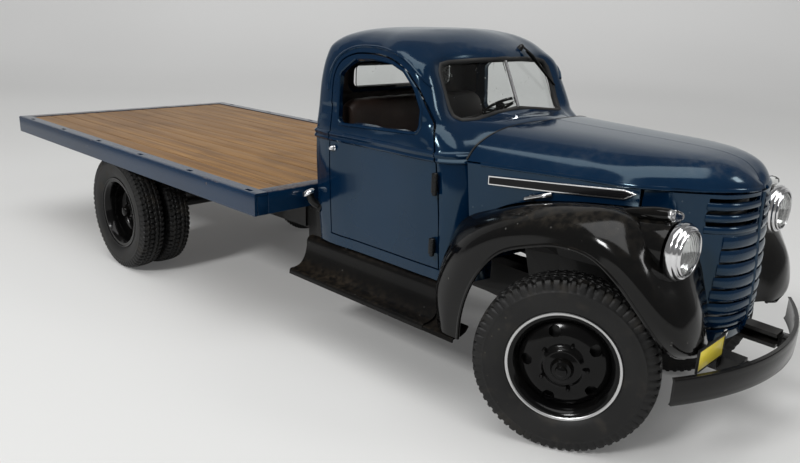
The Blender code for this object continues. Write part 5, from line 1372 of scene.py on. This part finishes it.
def worn_blue(name):
    made = Finish(name, "blue_paint")
    cloud = made.noise(22, detail=4)
    fine = made.noise(420, detail=2)
    x, y, z = made.axis("X"), made.axis("Y"), made.axis("Z")
    reach = y.maths("ABSOLUTE", y)
    ragged = made.noise(500, detail=5) * 0.0016 + made.noise(60, detail=2) * 0.0010
    side_edge = 1 - ((BED_HALF - reach) + ragged).above(0.0012, 0.0018)
    top_edge = (z - ragged * 0.5).above(BED_TOP - 0.0012, BED_TOP - 0.0006)
    inner_edge = 1 - ((reach - (BED_HALF - BED_FLANGE)) + ragged).above(0.0013, 0.0017)
    worn = side_edge * top_edge * 0.8 + inner_edge * top_edge * 0.5
    chips = made.specks(230, 0.17) * made.noise(28).above(0.52, 0.70)
    rust = (worn + chips * 0.8) * made.noise(75, detail=3).above(0.40, 0.60)
    lying = made.facing("Z").above(0.25, 1.0) * cloud.above(0.3, 0.8)
    film = lying * fine.above(0.3, 0.7) * 0.22
    paint_tone = cloud.above(0.3, 0.7).blend((0.0016, 0.0160, 0.0440), (0.0024, 0.0210, 0.0560))
    rust_tone = made.noise(700).above(0.35, 0.65).blend((0.085, 0.045, 0.025), (0.21, 0.17, 0.13))
    colour = film.blend(paint_tone, (0.17, 0.15, 0.12))
    made.give(Base_Color=rust.blend(colour, rust_tone), Roughness=rust * 0.5 + film * 0.6 + 0.16,
              Specular_IOR_Level=0.4, Coat_Weight=0.1)
    return made.bump(1 - rust, 0.00004, 0.5)


BED_BLUE = worn_blue("worn_bed_blue")
# Columns: inset from the bed's edge, drop from its top
BED_EDGE = ((0, BED_SIDE), (0, 0.0050), (0, 0.0006), (0.0002, 0.0002), (0.0006, 0),
            (POCKET_INSET, 0), (BED_FLANGE, 0))
POCKETS = [BED_FRONT - 0.0072 - index * POCKET_PITCH for index in range(6)]
for word, side in SIDES:
    section = [Vector((0, side * (BED_HALF - inset), BED_TOP - drop)) for inset, drop in BED_EDGE]
    pocket_ends = [x + reach for x in POCKETS for reach in (-POCKET_LONG, POCKET_LONG)]
    stops = sorted([BED_REAR, BED_FRONT] + pocket_ends)
    rail = skin([[point + Vector((x, 0, 0)) for point in section] for x in stops])
    outwards(rail, (-0.2500, side * 0.0600, 0.0500))
    for x in POCKETS:
        y = side * (BED_HALF - POCKET_INSET)
        trim(rail, oblong(x, y, POCKET_LONG, POCKET_SHORT, 0.0004, 2), "Z", on_top)
    piece(f"bed_edge_{word}", rail, BED_BLUE, replaces=(f"bed_rail_{word}",), wall=BED_SHEET,
          edge=0.0002)
    bolts = []
    for x in POCKETS:
        for shift in (-0.0060, 0.0060):
            facing = toward((0, side, 0))
            bolts.append(lathe(mm([(0, 0.02), (0.4, -0.04), (0.7, -0.2), (0.7, -0.4), (0, -0.4)]),
                               12, (x + shift, side * (BED_HALF - 0.00002), 0.0604), facing))
    piece(f"bed_bolts_{word}", together(*bolts), BED_BLUE)
span = BED_HALF - BED_FLANGE - 0.0003
for name, edge, out in (("front", BED_FRONT, 1), ("rear", BED_REAR, -1)):
    section = [Vector((edge - out * inset, 0, BED_TOP - drop)) for inset, drop in BED_EDGE
               if inset != POCKET_INSET]
    header = skin([[point + Vector((0, y, 0)) for point in section] for y in (-span, 0, span)])
    outwards(header, (edge - out * 0.0100, 0, 0.0500))
    for _, side in SIDES:
        x, y = edge - out * POCKET_INSET, side * 0.0636
        trim(header, oblong(x, y, POCKET_SHORT, 0.0018, 0.0004, 2), "Z", on_top)
    piece(f"bed_header_skin_{name}", header, BED_BLUE, replaces=(f"bed_header_{name}",),
          wall=BED_SHEET, edge=0.0002)
    corners = []
    for _, side in SIDES:
        faces = sorted((edge - out * 0.00005, edge - out * BED_WALL))
        across = sorted((side * (span - 0.0002), side * (BED_HALF - BED_WALL - 0.0001)))
        corners.append(box((faces[0], across[0], BED_TOP - BED_SIDE),
                           (faces[1], across[1], BED_TOP - BED_WALL), 0.0001))
    piece(f"bed_corners_{name}", together(*corners), BED_BLUE)

PLANKS, PLANK_GAP, PLANK_LOW, PLANK_TOP = 13, 0.00035, 0.0627, 0.0651


def oiled_wood(name, pitch, first):
    made = Finish(name, "wood")
    x, y = made.axis("X"), made.axis("Y")
    board = made.node("ShaderNodeMath", {0: (y - first) / pitch}, operation="FLOOR")
    shift = made.node("ShaderNodeTexWhiteNoise", {"W": board}, out="Value", noise_dimensions="1D")
    place = made.node("ShaderNodeCombineXYZ", {0: x * 9 + shift * 31, 1: y * 210 + shift * 17,
                                               2: shift * 9})
    grain = made.node("ShaderNodeTexNoise", {"Vector": place, "Scale": 1.0, "Detail": 6.0,
                                             "Distortion": 1.3})
    streak = made.node("ShaderNodeCombineXYZ", {0: x * 26, 1: y * 1500, 2: shift * 5})
    fibre = made.node("ShaderNodeTexNoise", {"Vector": streak, "Scale": 1.0, "Detail": 3.0})
    knots = made.specks(70, 0.14) * made.noise(26).above(0.56, 0.70)
    tone = grain.above(0.30, 0.70).blend((0.165, 0.082, 0.027), (0.335, 0.187, 0.070))
    tone = (fibre.above(0.45, 0.75) * 0.45).blend(tone, (0.090, 0.046, 0.019))
    tone = (shift * 0.45).blend(tone, (0.220, 0.120, 0.047))
    tone = (knots * 0.6).blend(tone, (0.050, 0.026, 0.012))
    stain = made.noise(30, stretch=(1, 1.5, 1), detail=4).above(0.50, 0.75)
    made.give(Base_Color=(stain * 0.35).blend(tone, (0.085, 0.050, 0.026)),
              Roughness=fibre * 0.2 + 0.42, Specular_IOR_Level=0.35)
    return made.bump(grain * 0.6 + fibre * 0.4, 0.00008, 0.6)


inset = BED_FLANGE + 0.0003
width = 2 * (BED_HALF - inset)
pitch = width / PLANKS
WOOD = oiled_wood("oiled_planks", pitch, inset - BED_HALF)
boards = []
for index in range(PLANKS):
    y = inset - BED_HALF + index * pitch
    boards.append(box((BED_REAR + inset, y + PLANK_GAP / 2, PLANK_LOW),
                      (BED_FRONT - inset, y + pitch - PLANK_GAP / 2, PLANK_TOP), 0.0002))
piece("bed_planks", together(*boards), WOOD, replaces=("bed_deck",))


# Frame, axles and small parts
# Channel rails, cross members, springs, axles, steering and exhaust are steel in satin black with
# road dust. These are the solids of the frame, in their finishes.

CHASSIS = enamel("chassis_black_paint", "chassis_black", (0.0060, 0.0060, 0.0062),
                 (0.0120, 0.0112, 0.0104), 0.42, dust=0.4, dust_colour=(0.060, 0.050, 0.040),
                 sheen=0.25)
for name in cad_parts:
    if any(word in name for word in ("frame_", "axle", "knuckle", "tie_rod", "sills", "shaft",
                                     "engine", "radiator", "exhaust", "apron", "floor")):
        paint(name, CHASSIS)


# Rail webs
# Behind the cab a deeper web plate is riveted on the outside of each rail, down to the spring
# hangers, with a row of rivet heads along its upper and lower edges.

WEB_IN, WEB_OUT, RIVET_X, RIVET_PITCH = 0.0263, 0.0277, -0.1460, 0.0050
for word, side in SIDES:
    near, far = sorted((side * WEB_IN, side * WEB_OUT))
    web = [box((-0.1480, near, 0.0316), (-0.1190, far, 0.0500), 0.0002)]
    for x in [RIVET_X + RIVET_PITCH * k for k in range(6)]:
        for z in (0.0332, 0.0484):
            web.append(lathe(mm([(0, 0.5), (0.4, 0.4), (0.6, 0.1), (0.6, -0.2), (0, -0.2)]), 10,
                             (x, side * WEB_OUT, z), toward((0, side, 0))))
    piece(f"rail_web_{word}", together(*web), STEEL_BLACK)


# Interior
# A bench seat in worn brown vinyl with sewn channels, a dash panel and a black steering wheel.

def worn_vinyl(name):
    made = Finish(name, "brown_vinyl")
    cloud = made.noise(40, detail=5)
    crease = made.noise(260, stretch=(1, 0.5, 1), detail=4)
    worn = made.noise(90, detail=4).above(0.50, 0.72)
    tone = cloud.above(0.3, 0.7).blend((0.013, 0.007, 0.005), (0.026, 0.014, 0.010))
    made.give(Base_Color=(worn * 0.4).blend(tone, (0.048, 0.030, 0.022)), Roughness=cloud * 0.15
              + 0.45)
    return made.bump(crease, 0.00010, 0.6)


VINYL = worn_vinyl("worn_brown_vinyl")
SEAT_HALF = 0.0398
# Columns: name, ends along and in height, how far the top leans back
SEAT = (("seat_cushion", -0.1040, -0.0776, 0.0560, 0.0682, 0.0),
        ("seat_back", -0.1120, -0.1020, 0.0655, 0.1022, 0.0045))
for name, low_x, high_x, low_z, high_z, lean in SEAT:
    rows = []
    for k in range(57):
        y = -SEAT_HALF + 2 * SEAT_HALF * k / 56
        end = 1 - (abs(y) / SEAT_HALF) ** 14 * 0.14
        seam = 0.00035 * (1 - min(abs((k % 7) - 3.5) / 3.5, 1)) ** 0.5 + 0.0001
        middle = Vector(((low_x + high_x) / 2, y, (low_z + high_z) / 2))
        row = []
        for n in range(33):
            angle = 2 * pi * n / 32
            c, d = cos(angle), sin(angle)
            px = (high_x - low_x) / 2 * (abs(c) ** 0.55) * (1 if c > 0 else -1)
            pz = (high_z - low_z) / 2 * (abs(d) ** 0.55) * (1 if d > 0 else -1)
            puff = 1 + (seam - 0.0002) * 45
            place = middle + Vector((px * end * puff, 0, pz * end * puff))
            place.x += -lean * (place.z - low_z) / (high_z - low_z) + lean / 2
            row.append(place)
        rows.append(row)
    cushion = capped(skin(rows))
    shape = piece(name, cushion, VINYL, replaces=("seat",) if "back" in name else ())
base = box((-0.1060, -0.0390, 0.0540), (-0.0790, 0.0390, 0.0564), 0.0004)
piece("seat_base", base, CHASSIS)
paint("dash", BLUE)
WHEEL_RIM, COLUMN_FOOT = Vector((-0.0775, 0.0180, 0.0995)), Vector((-0.0530, 0.0180, 0.0600))
column_axis = (WHEEL_RIM - COLUMN_FOOT).normalized()
facing = Matrix.Translation(WHEEL_RIM) @ toward(column_axis)
helm = [lathe([(0.0070 + 0.0006 * cos(2 * pi * k / 10), 0.0006 * sin(2 * pi * k / 10))
               for k in range(11)], 48),
        lathe(mm([(0, 1), (1.6, 0.8), (2, 0.2), (2, -1), (1.1, -1.2), (1.1, -34), (0, -34)]), 20)]
for k in range(3):
    way = Vector((cos(2 * pi * k / 3 + pi / 6), sin(2 * pi * k / 3 + pi / 6), 0))
    helm.append(moulding([way * 0.0014, way * 0.0042 - Vector((0, 0, 0.0003)), way * 0.0069],
                         0.0009, 0.0006, normal=Vector((0, 0, 1)), sides=6))
piece("steering_helm", set_in(together(*helm), facing), STEEL_BLACK, replaces=("steering_wheel",))


# Cab lining
# The cab's inside is a dark brown tub that stands just within the pressing, cut for the same
# windows and doors.

LINING = worn_vinyl("lining_brown")
LINING_MARGIN, LINING_DEPTH, LINING_FOOT = 0.0012, 0.0027, 0.0560
for name, body, span in (("cab_lining", "chassis", None), ("door_lining_right", "door_right", -1),
                         ("door_lining_left", "door_left", 1)):
    lining = cab_surface.copy()
    if span is None:
        for outline, axis, where in ((DOOR_OUTLINE, "Y", beyond(-1)),
                                     (DOOR_OUTLINE, "Y", beyond(1)),
                                     (SCREEN_OUTLINE, "X", in_front), (REAR_WINDOW, "X", at_back)):
            trim(lining, moved_out(outline, LINING_MARGIN), axis, where)
        cleared(lining, LINING_FOOT)
    else:
        trim(lining, moved_out(DOOR_OUTLINE, -0.0030), "Y", beyond(span), keep=True)
        trim(lining, moved_out(WINDOW_OUTLINE, LINING_MARGIN), "Y", beyond(span))
    lining.normal_update()
    for vert in lining.verts:
        vert.co -= vert.normal * LINING_DEPTH
    piece(name, lining, LINING, body, wall=0.0004)


# Fuel filler
# A short black neck bends out of the cab's rear corner and ends in a bright screwed cap.

neck = bend(mm([(-118, -43, 57), (-119.2, -45.8, 58.2), (-120.3, -48, 60.2), (-121, -48.8, 62.8)]),
            5)
pipe = moulding(neck, 0.0032, 0.0032, normal=Vector((0.6, -0.8, 0)), sides=18)
flange = lathe(mm([(1.5, -0.4), (2.4, -0.4), (2.4, 0.4), (2, 0.7), (1.5, 0.7), (1.5, -0.4)]), 24,
               (-0.1184, -0.0448, 0.0574), toward((-0.7, -0.6, 0.45)))
piece("filler_neck", together(pipe, flange), STEEL_BLACK, replaces=("fuel_filler",))
cap = lathe(rounded_line(mm([(0, 2.2), (1.4, 2.1), (2.4, 1.7), (2.8, 1.1)]), 3)
            + rounded_line(mm([(2.8, 1), (2.7, 0.3), (2.1, 0), (0, 0)]), 3), 36,
            (-0.1210, -0.0488, 0.0626), toward((-0.35, -0.25, 0.9)))
piece("filler_cap", cap, CHROME)
